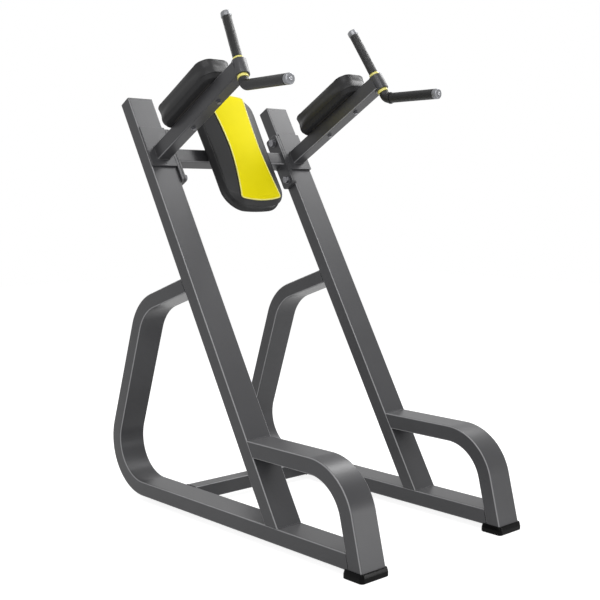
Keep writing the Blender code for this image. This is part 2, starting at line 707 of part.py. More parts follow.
def back_pad_half_width(z):
    """Half width of the back cushion: a slight waist at the middle and a slight taper."""
    share = (z - BACK_PAD_MIDDLE) / (BACK_PAD_TOP - BACK_PAD_BOTTOM) * 2
    return (BACK_PAD_HALF_WIDTH + BACK_PAD_TAPER * share
            - BACK_PAD_WAIST * math.cos(share) ** 2)


def panel_half_width(z):
    """Half width of the yellow panel: narrow at the waist and wide at both ends."""
    share = (z - BACK_PAD_MIDDLE) / (BACK_PAD_MIDDLE - PANEL_BOTTOM)
    return PANEL_WAIST + (PANEL_WIDE[share > 0] - PANEL_WAIST) * abs(share) ** 1.6


def panel_depth(z):
    """Depth of the panel's rim: the cushion's front is arched along its height."""
    share = (z - BACK_PAD_MIDDLE) / (BACK_PAD_MIDDLE - PANEL_BOTTOM)
    return BACK_PAD_FRONT - BACK_PAD_ARCH * share ** 2


def upright_ring(outline, depth):
    """An outline in the plane of the back rest. The depth in front of the uprights is a
    number or a function of the height."""
    return [Vector((x, -(depth(z) if callable(depth) else depth), z)) for x, z in outline]


def blended(first, second, share):
    """An outline part of the way from one outline to another."""
    return [(a[0] + (b[0] - a[0]) * share, a[1] + (b[1] - a[1]) * share)
            for a, b in zip(first, second)]


def crown_rings(panel, lift):
    """Rings of the crowned front inside the panel's outline, raised by a small lift."""
    spine = (PANEL_BOTTOM + PANEL_WAIST, PANEL_TOP - PANEL_WAIST)
    rings = []
    for factor in (1.0, 0.72, 0.36):
        swell = BACK_PAD_CROWN * (1 - factor ** 2) + lift
        rings.append(upright_ring(toward_spine(panel, factor, *spine),
                                  lambda z, swell=swell: panel_depth(z) + swell))
    return rings


def back_cushion(lean, vinyl, yellow):
    """Back cushion with a drawn-in side, a crease, a sloping band and the yellow panel."""
    body = cushion_outline(back_pad_half_width, BACK_PAD_BOTTOM, BACK_PAD_TOP,
                           BACK_PAD_BOTTOM_CORNER, BACK_PAD_TOP_CORNER)
    body = bowed(body, BACK_PAD_BOW, BACK_PAD_BOTTOM, BACK_PAD_TOP)
    panel = cushion_outline(panel_half_width, PANEL_BOTTOM, PANEL_TOP,
                            PANEL_CORNER, PANEL_CORNER)
    panel = bowed(panel, PANEL_BOW, PANEL_BOTTOM, PANEL_TOP)
    spine = (BACK_PAD_BOTTOM + BACK_PAD_HALF_WIDTH, BACK_PAD_TOP - BACK_PAD_HALF_WIDTH)
    back = BACK_PLATE_THICKNESS + PAD_BOARD + 2 * GAP
    rings = []
    # Share of the outline and share of the way from the board to the crease: widest near the
    # board, drawn in half way
    for factor, share in ((0.985, 0), (1.020, 0.12), (0.985, 0.55), (0.975, 0.90)):
        depth = back + (BACK_PAD_SHOULDER - back) * share
        rings.append(upright_ring(toward_spine(body, factor, *spine), depth))
    rings.append(upright_ring(blended(body, panel, 0.14), BACK_PAD_SHOULDER + 2 * GAP))
    rings += crown_rings(panel, 0)
    piece("back_pad", solid(rings), vinyl, lean, smooth=40)
    sheet = crown_rings(panel, GAP)[::-1] + crown_rings(panel, GAP + PANEL_THICKNESS)
    piece("back_pad_panel", solid(sheet), yellow, lean, smooth=40)
    return toward_spine(body, BOARD_SHARE, *spine)


def back_rest(lean, vinyl, yellow, wood, paint, steel):
    """The back cushion, its board, mounting plate and bolts."""
    outline = back_cushion(lean, vinyl, yellow)
    board = [upright_ring(outline, BACK_PLATE_THICKNESS + GAP),
             upright_ring(outline, BACK_PLATE_THICKNESS + GAP + PAD_BOARD)]
    ply = piece("back_pad_board", solid(board), wood, lean)
    thickness = BACK_PLATE_THICKNESS - GAP
    shape = moved(plate((*BACK_PLATE, thickness), ARM_PLATE_CORNER), turn=TO_BACK)
    mount = piece("back_pad_plate", solid(shape), paint, lean,
                  location=(0, -GAP - thickness / 2, ARM_HEIGHT))
    for side, sign in SIDES:
        for which, up in (("lower", -1), ("upper", 1)):
            spot = (sign * BACK_BOLT_X, 0, ARM_HEIGHT + up * BACK_BOLT_Z)
            shape = moved(bolt(PAD_BOLT, BACK_PLATE_THICKNESS + PAD_BOLT_GRIP), turn=TO_BACK)
            piece("back_pad_bolt_%s_%s" % (side, which), solid(shape), steel, lean,
                  location=spot, smooth=30)
            for target in (mount, ply):
                drill = solid(rod(PAD_HOLE_RADIUS, -2 * PAD_BOARD, 2 * PAD_BOARD))
                cut(target, "%s_hole_%s_%s" % (target.name, side, which), drill, location=spot,
                    rotation=(math.radians(90), 0, 0))


def handle(side, sign, lean, paint, plastic, steel, rubber, aluminium):
    """Sleeve, bushes and the swivelling handle of one arm."""
    hinge = empty(side + "_handle_axis", (sign * ARM_X, -HANDLE_REACH, ARM_HEIGHT),
                  (0, -sign * HANDLE_TILT, 0), lean)
    sleeve(side, hinge, paint)
    bush(side + "_upper_bush", hinge, plastic, 1)
    bush(side + "_lower_bush", hinge, plastic, -1)
    handle_bar(side, hinge, steel)
    upper_grip(side, hinge, rubber)
    lower_grip(side, hinge, rubber)
    end_caps(side, hinge, aluminium, steel)


def build():
    for old in list(bpy.data.objects):
        bpy.data.objects.remove(old)
    paint = finish("grey_powder_coat", (0.13, 0.13, 0.13), 0.40, 0.55)
    rubber = finish("black_rubber", (0.012, 0.012, 0.012), 0.35, 0.0)
    vinyl = finish("charcoal_vinyl", (0.045, 0.045, 0.045), 0.45, 0.0)
    yellow = finish("yellow_vinyl", (0.85, 0.75, 0.02), 0.45, 0.0)
    plastic = finish("yellow_bush_plastic", (0.85, 0.78, 0.20), 0.40, 0.0)
    wood = finish("plywood", (0.35, 0.24, 0.13), 0.70, 0.0)
    steel = finish("dark_steel", (0.10, 0.10, 0.11), 0.35, 0.9)
    aluminium = finish("turned_aluminium", (0.62, 0.63, 0.64), 0.25, 1.0)

    lean = empty("upright_frame", (0, UPRIGHT_FOOT_Y, BASE_TOP), (-UPRIGHT_LEAN, 0, 0))
    for side, sign in SIDES:
        side_frame(side, sign, paint, rubber)
        upright(side, sign, lean, paint)
        upright_cap(side, sign, lean, paint)
        side_plate(side, sign, lean, paint)
        side_plate_bolts(side, sign, lean, steel)
        arm_plate(side, sign, lean, paint)
        arm(side, sign, lean, paint)
        arm_pad(side, sign, lean, vinyl, wood)
        arm_pad_bolts(side, sign, lean, steel)
        handle(side, sign, lean, paint, plastic, steel, rubber, aluminium)

    inner_face = FRAME_X - TUBE_WIDTH / 2
    piece("floor_crossbar", solid(square_bar(inner_face - GAP)), paint,
          location=(0, FLOOR_BAR_Y, BASE_BOTTOM + SMALL_TUBE / 2))
    piece("upper_crossbar", solid(square_bar(inner_face - SIDE_PLATE_THICKNESS - GAP)), paint,
          lean, location=(0, SMALL_TUBE / 2, ARM_HEIGHT))
    back_rest(lean, vinyl, yellow, wood, paint, steel)


build()
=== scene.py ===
import math

import bmesh
import bpy
from mathutils import Matrix, Vector

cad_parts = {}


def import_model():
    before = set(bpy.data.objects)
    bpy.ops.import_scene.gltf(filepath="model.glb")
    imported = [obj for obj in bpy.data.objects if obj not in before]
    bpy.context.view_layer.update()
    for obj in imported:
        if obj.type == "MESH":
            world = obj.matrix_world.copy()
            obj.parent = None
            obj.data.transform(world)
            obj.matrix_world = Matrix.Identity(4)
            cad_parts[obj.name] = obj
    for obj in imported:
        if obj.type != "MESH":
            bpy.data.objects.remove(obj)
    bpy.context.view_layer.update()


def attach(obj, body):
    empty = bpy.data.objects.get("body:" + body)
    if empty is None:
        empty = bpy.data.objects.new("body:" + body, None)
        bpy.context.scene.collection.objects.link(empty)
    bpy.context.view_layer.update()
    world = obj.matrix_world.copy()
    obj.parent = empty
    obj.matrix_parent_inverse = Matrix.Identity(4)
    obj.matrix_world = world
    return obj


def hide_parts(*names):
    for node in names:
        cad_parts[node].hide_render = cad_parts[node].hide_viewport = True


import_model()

# Sizes of the construction, in metres, as the solids have them
GAP = 0.0003
TUBE_WIDTH = 0.100
TUBE_DEPTH = 0.050
TUBE_CORNER = 0.005
SMALL_TUBE = 0.050
BEND_RADIUS = 0.156
FRAME_X = 0.3094
FOOT_HEIGHT = 0.0215
BASE_BOTTOM = FOOT_HEIGHT + GAP
BASE_TOP = BASE_BOTTOM + TUBE_DEPTH
UPRIGHT_LEAN = math.radians(30)
UPRIGHT_LENGTH = 1.5215
UPRIGHT_FOOT_Y = -0.2676
LEG_LEAN = math.radians(14)
LEG_CORNER_Y = -0.5247
FRONT_LOOP_Z = 0.2906
REAR_LEAN = math.radians(19)
REAR_CORNER_Y = 0.6637
REAR_TOP_Z = 0.6845
REAR_RUN = 0.38
FRONT_FOOT_SIZE = (0.113, 0.0795, 0.0265)
FRONT_FOOT_Y = -0.5861
FRONT_FOOT_CORNER = 0.012
FRONT_FOOT_RIM = 0.0079
REAR_FOOT_RADIUS = 0.022
REAR_FOOT_INSET = 0.021
REAR_FOOT_Y = 0.378
FLOOR_BAR_Y = 0.293
ARM_HEIGHT = 1.3023
ARM_X = 0.3052
ARM_PLATE = (1.2532, 1.4044)                     # lower and upper edge along the upright
ARM_PLATE_THICKNESS = 0.008
ARM_PLATE_CORNER = 0.003
SIDE_PLATE = (1.1955, 1.4020)
SIDE_PLATE_THICKNESS = 0.019
SIDE_PLATE_CORNER = 0.009
SIDE_PLATE_BOLTS = (1.2182, 1.3751)
SIDE_PLATE_BOLT_DEPTH = 0.0132
FLANGE_THICKNESS = 0.0105                        # the post's share of the side plate
FLANGE_SEAM = 0.0008
PLATE_EDGE = 0.0009                              # bevel of the welded plates
CAP_THICKNESS = 0.003
PLATE_BOLT = (0.0115, 0.023, 0.0147, 0.003)      # head height, across flats, washer radius and height
PAD_BOLT = (0.0055, 0.013, 0.009, 0.0016)
PAD_BOARD = 0.012
BOARD_EDGE = 0.001
BOARD_SHARE = 0.88                               # of the cushion's outline
ARM_PAD_BACK = 0.1115
ARM_PAD_FRONT = 0.412
ARM_PAD_HALF_WIDTH = 0.0652
ARM_PAD_CORNER = 0.0435
ARM_BOLTS = (0.2003, 0.3506)
BACK_PAD_BOTTOM = 1.0655
BACK_PAD_TOP = 1.5187
BACK_PAD_HALF_WIDTH = 0.1335
BACK_PAD_TAPER = 0.0035
BACK_PAD_WAIST = 0.0038
BACK_PAD_BOTTOM_CORNER = 0.0740
BACK_PAD_TOP_CORNER = 0.0560
BACK_PAD_BOW = 0.0140
BACK_PAD_MIDDLE = 1.2976
BACK_PAD_SHOULDER = 0.0525
BACK_PAD_FRONT = 0.0778
BACK_PAD_ARCH = 0.0085
BACK_PAD_CROWN = 0.0038
PANEL_THICKNESS = 0.002
PANEL_BOTTOM = 1.0868
PANEL_TOP = 1.5130
PANEL_WIDE = (0.0865, 0.0800)                    # half width at the bottom and at the top
PANEL_WAIST = 0.0630
PANEL_CORNER = 0.0070
PANEL_BOW = 0.0110
BACK_PLATE = (0.113, 0.151)
BACK_PLATE_CORNER = 0.006
BACK_PLATE_EDGE = 0.0008
BACK_PLATE_THICKNESS = 0.006
BACK_BOLT_X = 0.038
BACK_BOLT_Z = 0.055
HANDLE_REACH = 0.4914
HANDLE_TILT = math.radians(7)
SLEEVE_RADIUS = 0.0236
SLEEVE_BORE = 0.0165
SLEEVE_HALF = 0.0274
BUSH_BORE = 0.0130
BUSH_FLANGE_RADIUS = 0.0180
BUSH_FLANGE = 0.0095
BUSH_NECK = 0.01
BAR_RADIUS = 0.0125
BAR_CORNER = 0.0614
BAR_BEND_RADIUS = 0.0227
BAR_TURN = math.radians(60)
GRIP_START = 0.0397
GRIP_RIBS = 36
RIB_DEPTH = 0.0002
UPPER_GRIP_RADIUS = 0.0156
UPPER_GRIP_END = 0.1928
LOWER_GRIP_RADIUS = 0.0170
LOWER_GRIP_END = 0.2014
GRIP_COLLAR_RADIUS = 0.0200
GRIP_COLLAR = (0.0142, 0.0208)                   # its two ends, from the bar's corner
CAP_RADIUS = 0.0172
CAP_LENGTH = 0.0198
CAP_SEAT = 0.0045
SCREW_HEAD_RADIUS = 0.0058
SCREW_HEAD_HEIGHT = 0.0028
TURNED_EDGE = 0.0012                             # easing of the sleeves, bushes and studs
COLLAR_EDGE = 0.0018
CAP_EDGE = 0.0008
WELD_BEAD = (0.0019, 0.0030, 0.13)               # radius, pitch of its ripples and their share of it
WELD_RING = 0.0006                               # how much wider than its tube a ring of weld is
FLOOR_WELD_DROP = 0.0012
PIPING_BEAD = (0.0025, 0.006, 0.02)
STAPLE = (0.0105, 0.0007)                        # length and radius of the wire
STAPLE_PITCH = 0.026
STITCH = (0.0034, 0.0005)
STITCH_PITCH = 0.0046
ARM_SEAM_GROOVE = 0.0024
BACK_SEAM_GROOVE = 0.0026
ARM_SWELL = 0.005                                # the most that a point moves when it is blown up
BACK_SWELL = 0.006
ARM_FOLD = 0.026                                 # how far the vinyl is folded in under the board
BACK_FOLD = 0.030
CAP_BORE = 0.0045
CAP_NECK = 0.0012                                # how much thinner it is behind its rim

# Values that follow from them
SIDES = (("left", -1), ("right", 1))
WIDE_TUBE = (TUBE_WIDTH, TUBE_DEPTH)
SQUARE_TUBE = (SMALL_TUBE, SMALL_TUBE)
INNER_FACE = FRAME_X - TUBE_WIDTH / 2
ACROSS = Vector((1, 0, 0))
BACKWARDS = Vector((0, 1, 0))
UP = Vector((0, 0, 1))

# Camera
CAMERA_PLACE = (-2.3677, -2.5618, 1.0519)
CAMERA_YAW = math.radians(42.48)                 # turned from +Y towards +X
CAMERA_PITCH = math.radians(-5.52)
CAMERA_LENS = 63.1

# Lamps: name, place, the spot that each points at, width and height, watts
MIDDLE = (0, 0, 0.8)
LAMPS = (("right_softbox", (1.40, -0.28, 3.38), MIDDLE, (0.9, 0.9), 21),
         ("far_right_softbox", (2.40, 0.22, 3.00), MIDDLE, (0.9, 0.9), 32),
         ("fill_softbox", (1.90, -0.95, 3.00), MIDDLE, (1.3, 1.3), 9),
         ("front_softbox", (-1.05, -1.75, 3.05), (0, 0.2, 1.1), (0.3, 1.0), 18),
         ("low_softbox", (1.92, -3.25, 0.48), (0, -0.3, 0.3), (0.6, 0.85), 20),
         ("front_left_softbox", (-2.60, -2.00, 1.60), MIDDLE, (1.2, 1.2), 19),
         ("edge_softbox", (-1.80, -0.90, 2.90), MIDDLE, (0.35, 1.2), 13),
         ("back_softbox", (0.20, 3.00, 2.20), MIDDLE, (1.4, 1.4), 18))


def shift(x, y, z):
    """Matrix that moves a shape."""
    return Matrix.Translation((x, y, z))


def turn(angle, axis):
    """Matrix that turns a shape about an axis."""
    return Matrix.Rotation(angle, 4, axis)


# The uprights' leaning frame: Y runs back from their front face, Z up along them
LEAN = shift(0, UPRIGHT_FOOT_Y, BASE_TOP) @ turn(-UPRIGHT_LEAN, 'X')
# Stands a flat shape up, so that its thickness points forwards
FORWARDS = turn(math.radians(90), 'X')


def lean_direction(direction):
    """A direction of the leaning frame in world axes."""
    return LEAN.to_3x3() @ Vector(direction)


# Materials

def linear(code):
    """Linear colour of an sRGB hex code."""
    values = [int(code[k:k + 2], 16) / 255 for k in (1, 3, 5)]
    return tuple(v / 12.92 if v <= 0.04045 else ((v + 0.055) / 1.055) ** 2.4 for v in values) + (1.0,)


def add_node(tree, kind, inputs=None, **settings):
    """Adds a node. Each input is given as a value, or as the socket that feeds it or the node whose
    first output does."""
    node = tree.nodes.new(kind)
    for name, value in settings.items():
        setattr(node, name, value)
    for key, value in (inputs or {}).items():
        if isinstance(value, bpy.types.Node):
            value = value.outputs[0]
        if isinstance(value, bpy.types.NodeSocket):
            tree.links.new(value, node.inputs[key])
        else:
            node.inputs[key].default_value = value
    return node


def calculated(tree, operation, *values):
    """A number worked out from numbers and sockets."""
    return add_node(tree, "ShaderNodeMath", dict(enumerate(values)), operation=operation).outputs[0]


def ranged(tree, value, low, high, start=0.0, end=1.0):
    """A number that goes from low to high while a value goes from start to end."""
    return add_node(tree, "ShaderNodeMapRange", {"Value": value, "From Min": start, "From Max": end,
                                                 "To Min": low, "To Max": high}).outputs[0]


def cloudy(tree, place, size, detail, roughness=0.5):
    """A soft noise from 0 to 1, whose size is in the place's own unit."""
    return add_node(tree, "ShaderNodeTexNoise", {"Vector": place, "Scale": 1 / size, "Detail": detail,
                                                 "Roughness": roughness}).outputs["Fac"]


def tint_between(tree, factor, dark, light):
    """A colour that goes with a factor from one colour to another, each a hex code or a socket."""
    dark, light = [linear(tone) if isinstance(tone, str) else tone for tone in (dark, light)]
    return add_node(tree, "ShaderNodeMix", {0: factor, 6: dark, 7: light}, data_type='RGBA').outputs[2]


def cleared(owner):
    """The empty node tree of a new material or world."""
    owner.use_nodes = True
    owner.node_tree.nodes.clear()
    return owner.node_tree


def new_material(name):
    """A material with its empty tree and its object coordinates."""
    material = bpy.data.materials.new(name)
    tree = cleared(material)
    return material, tree, add_node(tree, "ShaderNodeTexCoord").outputs["Object"]


def shade(tree, colour, roughness, relief=None, metallic=0.0, specular=0.5):
    """Ends a material with its shader. A relief is a height, its strength and its depth."""
    inputs = {"Base Color": colour, "Roughness": roughness, "Metallic": metallic,
              "Specular IOR Level": specular}
    if relief:
        bump = dict(zip(("Height", "Strength", "Distance"), relief))
        inputs["Normal"] = add_node(tree, "ShaderNodeBump", bump)
    shader = add_node(tree, "ShaderNodeBsdfPrincipled", inputs)
    add_node(tree, "ShaderNodeOutputMaterial", {"Surface": shader})


def powder_coat():
    """Satin grey epoxy powder coat, sprayed and baked on steel: a fine orange peel, faint metallic
    mottling, a slow drift of tone along a tube, and a painted highlight: a pale line over the corners
    of a tube."""
    material, tree, place = new_material("grey_powder_coat")
    # Orange peel is about 1.2 mm from crest to crest
    peel = cloudy(tree, place, 0.0024, 2.0)
    fleck = cloudy(tree, place, 0.0032, 4.0, 0.7)
    drift = cloudy(tree, place, 0.12, 1.0)
    tone = tint_between(tree, calculated(tree, 'MULTIPLY_ADD', fleck, drift, 0.22), "#3a3a3c", "#49494b")
    # Painted highlight: the corners of the tubes turn pale grey, as if they caught the light
    corner = add_node(tree, "ShaderNodeAttribute", attribute_name="corner").outputs["Fac"]
    edge_highlight = ranged(tree, corner, 0.0, 0.75, start=0.45)
    shade(tree, tint_between(tree, edge_highlight, tone, "#a9a9ab"), ranged(tree, fleck, 0.30, 0.40),
          (peel, 0.12, 0.0006), metallic=0.1, specular=0.3)
    return material


def upholstery_vinyl(name, dark, light, crease_shade_and_grime, roughness, specular):
    """Calendered vinyl leatherette on foam: a pebbled grain pressed in, with a soft sheen, and creases,
    where the piece's own attribute marks them, darkened as painted shade and grime."""
    material, tree, place = new_material(name)
    # Pebbles of 1.6 mm, drawn a little coarser than the real 0.8 mm so that they show
    pebbles = add_node(tree, "ShaderNodeTexVoronoi", {"Vector": place, "Scale": 1 / 0.0016},
                       feature='DISTANCE_TO_EDGE')
    rise = ranged(tree, pebbles.outputs["Distance"], 0.0, 1.0, 0.0, 0.25)
    tone = tint_between(tree, cloudy(tree, place, 0.05, 3.0), dark, light)
    # Painted shade, with some dust and grime, darkens the creases beside the seams
    crease = add_node(tree, "ShaderNodeAttribute", attribute_name="crease").outputs["Fac"]
    shade(tree, tint_between(tree, crease, tone, crease_shade_and_grime), ranged(tree, rise, roughness + 0.10, roughness),
          (rise, 0.08, 0.00025), specular=specular)
    return material


def moulded(name, dark, light, roughness, speckle, depth, specular=0.5):
    """Moulded rubber or plastic: nearly one tone, with the fine texture of its mould."""
    material, tree, place = new_material(name)
    grain = cloudy(tree, place, speckle, 3.0)
    shade(tree, tint_between(tree, grain, dark, light), roughness, (grain, 0.3, depth), specular=specular)
    return material


def stained_plywood():
    """Birch plywood stained black, with its grain still showing along the board."""
    material, tree, place = new_material("black_stained_plywood")
    # Grain lines 2.5 mm apart, stretched twenty times along the board
    stretched = add_node(tree, "ShaderNodeMapping", {"Vector": place, "Scale": (400.0, 20.0, 20.0)})
    grain = cloudy(tree, stretched, 1.0, 5.0)
    shade(tree, tint_between(tree, grain, "#262423", "#3d3a37"), 0.7, (grain, 0.4, 0.0003))
    return material


def forged_steel(name, dark, light, roughness):
    """Steel with a phosphate or zinc finish: slightly blotched, with the skin of forging or drawing."""
    material, tree, place = new_material(name)
    skin = cloudy(tree, place, 0.003, 5.0)
    shade(tree, tint_between(tree, skin, dark, light), ranged(tree, skin, roughness - 0.06, roughness + 0.08),
          metallic=1.0)
    return material


def turned_aluminium():
    """Aluminium turned on a lathe: rings of fine tool marks round the axis, read from the piece's
    own map, whose first value is the distance along the turned profile in metres."""
    material, tree, place = new_material("turned_aluminium")
    own = add_node(tree, "ShaderNodeUVMap", uv_map="turning")
    travel = add_node(tree, "ShaderNodeSeparateXYZ", {0: own}).outputs[0]
    # Tool marks 0.45 mm apart, three times the real feed, so that they show
    marks = calculated(tree, 'SINE', calculated(tree, 'MULTIPLY', travel, math.tau / 0.00045))
    tone = tint_between(tree, cloudy(tree, place, 0.006, 3.0), "#727376", "#8b8c8f")
    shade(tree, tone, 0.42, (marks, 0.06, 0.00002), metallic=1.0)
    return material


# Finishes: a material and the slot that it goes by
PAINT = (powder_coat(), "frame_paint")
CHARCOAL = (upholstery_vinyl("charcoal_vinyl", "#242425", "#303031", "#0a0a0a", 0.38, 0.22), "charcoal_vinyl")
TURNED_IN = (upholstery_vinyl("charcoal_vinyl_turned_in", "#232324", "#2b2b2c", "#0e0e0f", 0.55, 0.2),
             "charcoal_vinyl")
YELLOW = (upholstery_vinyl("yellow_vinyl", "#e6d80b", "#ecde10", "#c0b20c", 0.55, 0.05), "yellow_vinyl")
# Piping a paler yellow than the panel: a painted highlight along the panel's rim
YELLOW_PIPING_HIGHLIGHT = (upholstery_vinyl("yellow_piping_vinyl_painted_highlight", "#f0e870", "#f5ee8a", "#c9bb10", 0.36, 0.4),
               "yellow_vinyl")
PLYWOOD = (stained_plywood(), "plywood")
DARK_STEEL = (forged_steel("phosphated_bolt_steel", "#6a6a6d", "#838387", 0.34), "dark_steel")
BAR_STEEL = (forged_steel("drawn_steel", "#6c6c70", "#86868a", 0.30), "bar_steel")
STAPLE_WIRE = (forged_steel("phosphated_staple_wire", "#303032", "#3e3e41", 0.5), "dark_steel")
CAP_SCREW_STEEL = (forged_steel("zinc_plated_steel", "#9a9b9e", "#b9babd", 0.42), "dark_steel")
GRIP_RUBBER = (moulded("black_grip_rubber", "#121213", "#1d1d1e", 0.36, 0.0012, 0.00005, 0.3), "black_rubber")
BOOT_RUBBER = (moulded("black_boot_rubber", "#050506", "#090909", 0.22, 0.002, 0.00003, 0.07), "black_rubber")
ACETAL = (moulded("yellow_acetal", "#e2d766", "#efe78a", 0.32, 0.004, 0.00004), "yellow_plastic")
ALUMINIUM = (turned_aluminium(), "turned_aluminium")
THREAD = (moulded("charcoal_thread", "#2a2a2b", "#3c3c3e", 0.65, 0.0006, 0.0001), "charcoal_vinyl")


# Meshes and pieces

def from_rings(rings, closed=False, caps=True):
    """A mesh that skins rings of equal count. The ends are filled, or joined to each other."""
    mesh = bmesh.new()
    rows = [[mesh.verts.new(point) for point in ring] for ring in rings]
    pairs = list(zip(rows, rows[1:]))
    if closed:
        pairs.append((rows[-1], rows[0]))
    for low, high in pairs:
        for k in range(len(low)):
            n = (k + 1) % len(low)
            mesh.faces.new((low[k], low[n], high[n], high[k]))
    if caps and not closed:
        mesh.faces.new(rows[0])
        mesh.faces.new(rows[-1])
    bmesh.ops.recalc_face_normals(mesh, faces=mesh.faces)
    return mesh


def to_data(name, mesh, place=None):
    """Turns a bmesh into mesh data, placed by a matrix."""
    if place:
        mesh.transform(place)
    data = bpy.data.meshes.new(name)
    mesh.to_mesh(data)
    mesh.free()
    return data


def merged(data):
    """A bmesh of mesh data, with its doubles merged. The data goes."""
    mesh = bmesh.new()
    mesh.from_mesh(data)
    bpy.data.meshes.remove(data)
    bmesh.ops.remove_doubles(mesh, verts=mesh.verts, dist=1e-6)
    return mesh


def in_scene(name, data):
    """A new object in the scene."""
    made = bpy.data.objects.new(name, data)
    bpy.context.scene.collection.objects.link(made)
    return made


def evaluated(thing):
    """The plain mesh that an object's modifiers make. The object and its own mesh go."""
    own = thing.data
    graph = bpy.context.evaluated_depsgraph_get()
    made = bpy.data.meshes.new_from_object(thing.evaluated_get(graph), depsgraph=graph)
    bpy.data.objects.remove(thing)
    bpy.data.meshes.remove(own)
    return made


def make_piece(name, shape, finish, nodes=(), place=None, body="station", sharp=35, bevel=0.0,
               weighted=False):
    """One finished piece: its place, shading and bevelled edges, and the body and nodes that it stands
    for. The shape is a bmesh or mesh data."""
    data = shape if isinstance(shape, bpy.types.Mesh) else to_data(name, shape)
    if place:
        data.transform(place)
    material, slot = finish
    data.materials.clear()
    data.materials.append(material)
    data.shade_smooth()
    data.set_sharp_from_angle(angle=math.radians(sharp))
    made = in_scene(name, data)
    if bevel:
        edges = made.modifiers.new("edges", 'BEVEL')
        edges.width = bevel
        edges.segments = 3
        edges.limit_method = 'ANGLE'
        edges.angle_limit = math.radians(30)
    if bevel or weighted:
        made.modifiers.new("shading", 'WEIGHTED_NORMAL').keep_sharp = True
    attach(made, body)
    if nodes:
        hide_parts(*nodes)
    return made


def new_tree(name, sizes):
    """A Geometry Nodes tree that takes a geometry, named sizes and a finish."""
    tree = bpy.data.node_groups.new(name, "GeometryNodeTree")
    for label, kind in {"Geometry": 'Geometry', **sizes, "Finish": 'Material'}.items():
        tree.interface.new_socket(label, in_out='INPUT', socket_type="NodeSocket" + kind)
    tree.interface.new_socket("Geometry", in_out='OUTPUT', socket_type='NodeSocketGeometry')
    return tree, add_node(tree, "NodeGroupInput").outputs


def end_tree(tree, entry, geometry):
    """Realizes the instances, gives the finish and ends the tree."""
    real = add_node(tree, "GeometryNodeRealizeInstances", {0: geometry})
    painted = add_node(tree, "GeometryNodeSetMaterial", {0: real, "Material": entry["Finish"]})
    add_node(tree, "NodeGroupOutput", {0: painted})
    return tree


def grown(name, tree, data, finish, sizes):
    """Runs a tree on a mesh and returns the result as a plain mesh."""
    seed = in_scene(name + "_seed", data)
    modifier = seed.modifiers.new(name, 'NODES')
    modifier.node_group = tree
    values = {**sizes, "Finish": finish[0]}
    for item in tree.interface.items_tree:
        if item.in_out == 'INPUT' and item.name in values:
            modifier[item.identifier] = values[item.name]
    made = evaluated(seed)
    made.name = name
    return made


def path_data(name, paths):
    """Mesh of edges along paths, each a list of points and whether it closes on itself."""
    points = []
    edges = []
    for path, closed in paths:
        first = len(points)
        points += path
        edges += [(first + k, first + k + 1) for k in range(len(path) - 1)]
        if closed:
            edges.append((first + len(path) - 1, first))
    data = bpy.data.meshes.new(name)
    data.from_pydata(points, edges, [])
    return data


def swept_tree(name, sizes, section):
    """A tree that rounds a path's corners and draws a section along it. The section is a function
    that adds its own nodes."""
    tree, entry = new_tree(name, {**sizes, "Bend Radius": 'Float', "Bend Steps": 'Int'})
    line = add_node(tree, "GeometryNodeMeshToCurve", {0: entry["Geometry"]})
    bent = add_node(tree, "GeometryNodeFilletCurve", {"Curve": line, "Count": entry["Bend Steps"],
                                                      "Radius": entry["Bend Radius"]}, mode='POLY')
    profile = section(tree, entry)
    drawn = add_node(tree, "GeometryNodeCurveToMesh", {"Curve": bent, "Fill Caps": True,
                                                       "Profile Curve": profile})
    return end_tree(tree, entry, drawn)


def square_section(tree, entry):
    """Section of a square tube, which marks how far each point is into a corner: 0 on the flats, 1 at
    the corner's middle."""
    plain = add_node(tree, "GeometryNodeCurvePrimitiveQuadrilateral",
                     {"Width": entry["Width"], "Height": entry["Depth"]})
    rounded = add_node(tree, "GeometryNodeFilletCurve", {"Curve": plain, "Count": 6,
                                                         "Radius": entry["Corner Radius"]}, mode='POLY')
    tangent = add_node(tree, "GeometryNodeInputTangent")
    heading = add_node(tree, "ShaderNodeSeparateXYZ", {0: tangent})
    slant = calculated(tree, 'MULTIPLY', heading.outputs[0], heading.outputs[1])
    share = calculated(tree, 'MULTIPLY', calculated(tree, 'ABSOLUTE', slant), 2.0)
    # The paint reads this mark to lay its painted highlight over the corners
    return add_node(tree, "GeometryNodeStoreNamedAttribute", {"Geometry": rounded,
                                                              "Name": "corner", "Value": share})


def ribbed_section(tree, entry):
    """Round section with fine ribs."""
    plain = add_node(tree, "GeometryNodeCurvePrimitiveCircle", {"Resolution": entry["Facets"],
                                                                "Radius": entry["Radius"]})
    spot = add_node(tree, "GeometryNodeInputPosition")
    split = add_node(tree, "ShaderNodeSeparateXYZ", {0: spot})
    angle = calculated(tree, 'ARCTAN2', split.outputs[1], split.outputs[0])
    crest = calculated(tree, 'COSINE', calculated(tree, 'MULTIPLY', angle, entry["Ribs"]))
    outward = add_node(tree, "ShaderNodeVectorMath", {0: spot}, operation='NORMALIZE')
    push = add_node(tree, "ShaderNodeVectorMath",
                    {0: outward, "Scale": calculated(tree, 'MULTIPLY', crest, entry["Rib Depth"])},
                    operation='SCALE')
    return add_node(tree, "GeometryNodeSetPosition", {0: plain, "Offset": push})


TUBE_TREE = swept_tree("bent_tube", {"Width": 'Float', "Depth": 'Float', "Corner Radius": 'Float'},
                       square_section)
ROUND_TREE = swept_tree("ribbed_bar", {"Radius": 'Float', "Facets": 'Int', "Ribs": 'Float',
                                       "Rib Depth": 'Float'}, ribbed_section)


def minus(data, cutter_data):
    """A mesh with another one cut out of it."""
    target = in_scene("target", data)
    cutter = in_scene("cutter", cutter_data)
    modifier = target.modifiers.new("cut", 'BOOLEAN')
    modifier.operation = 'DIFFERENCE'
    modifier.object = cutter
    made = evaluated(target)
    bpy.data.objects.remove(cutter)
    return made


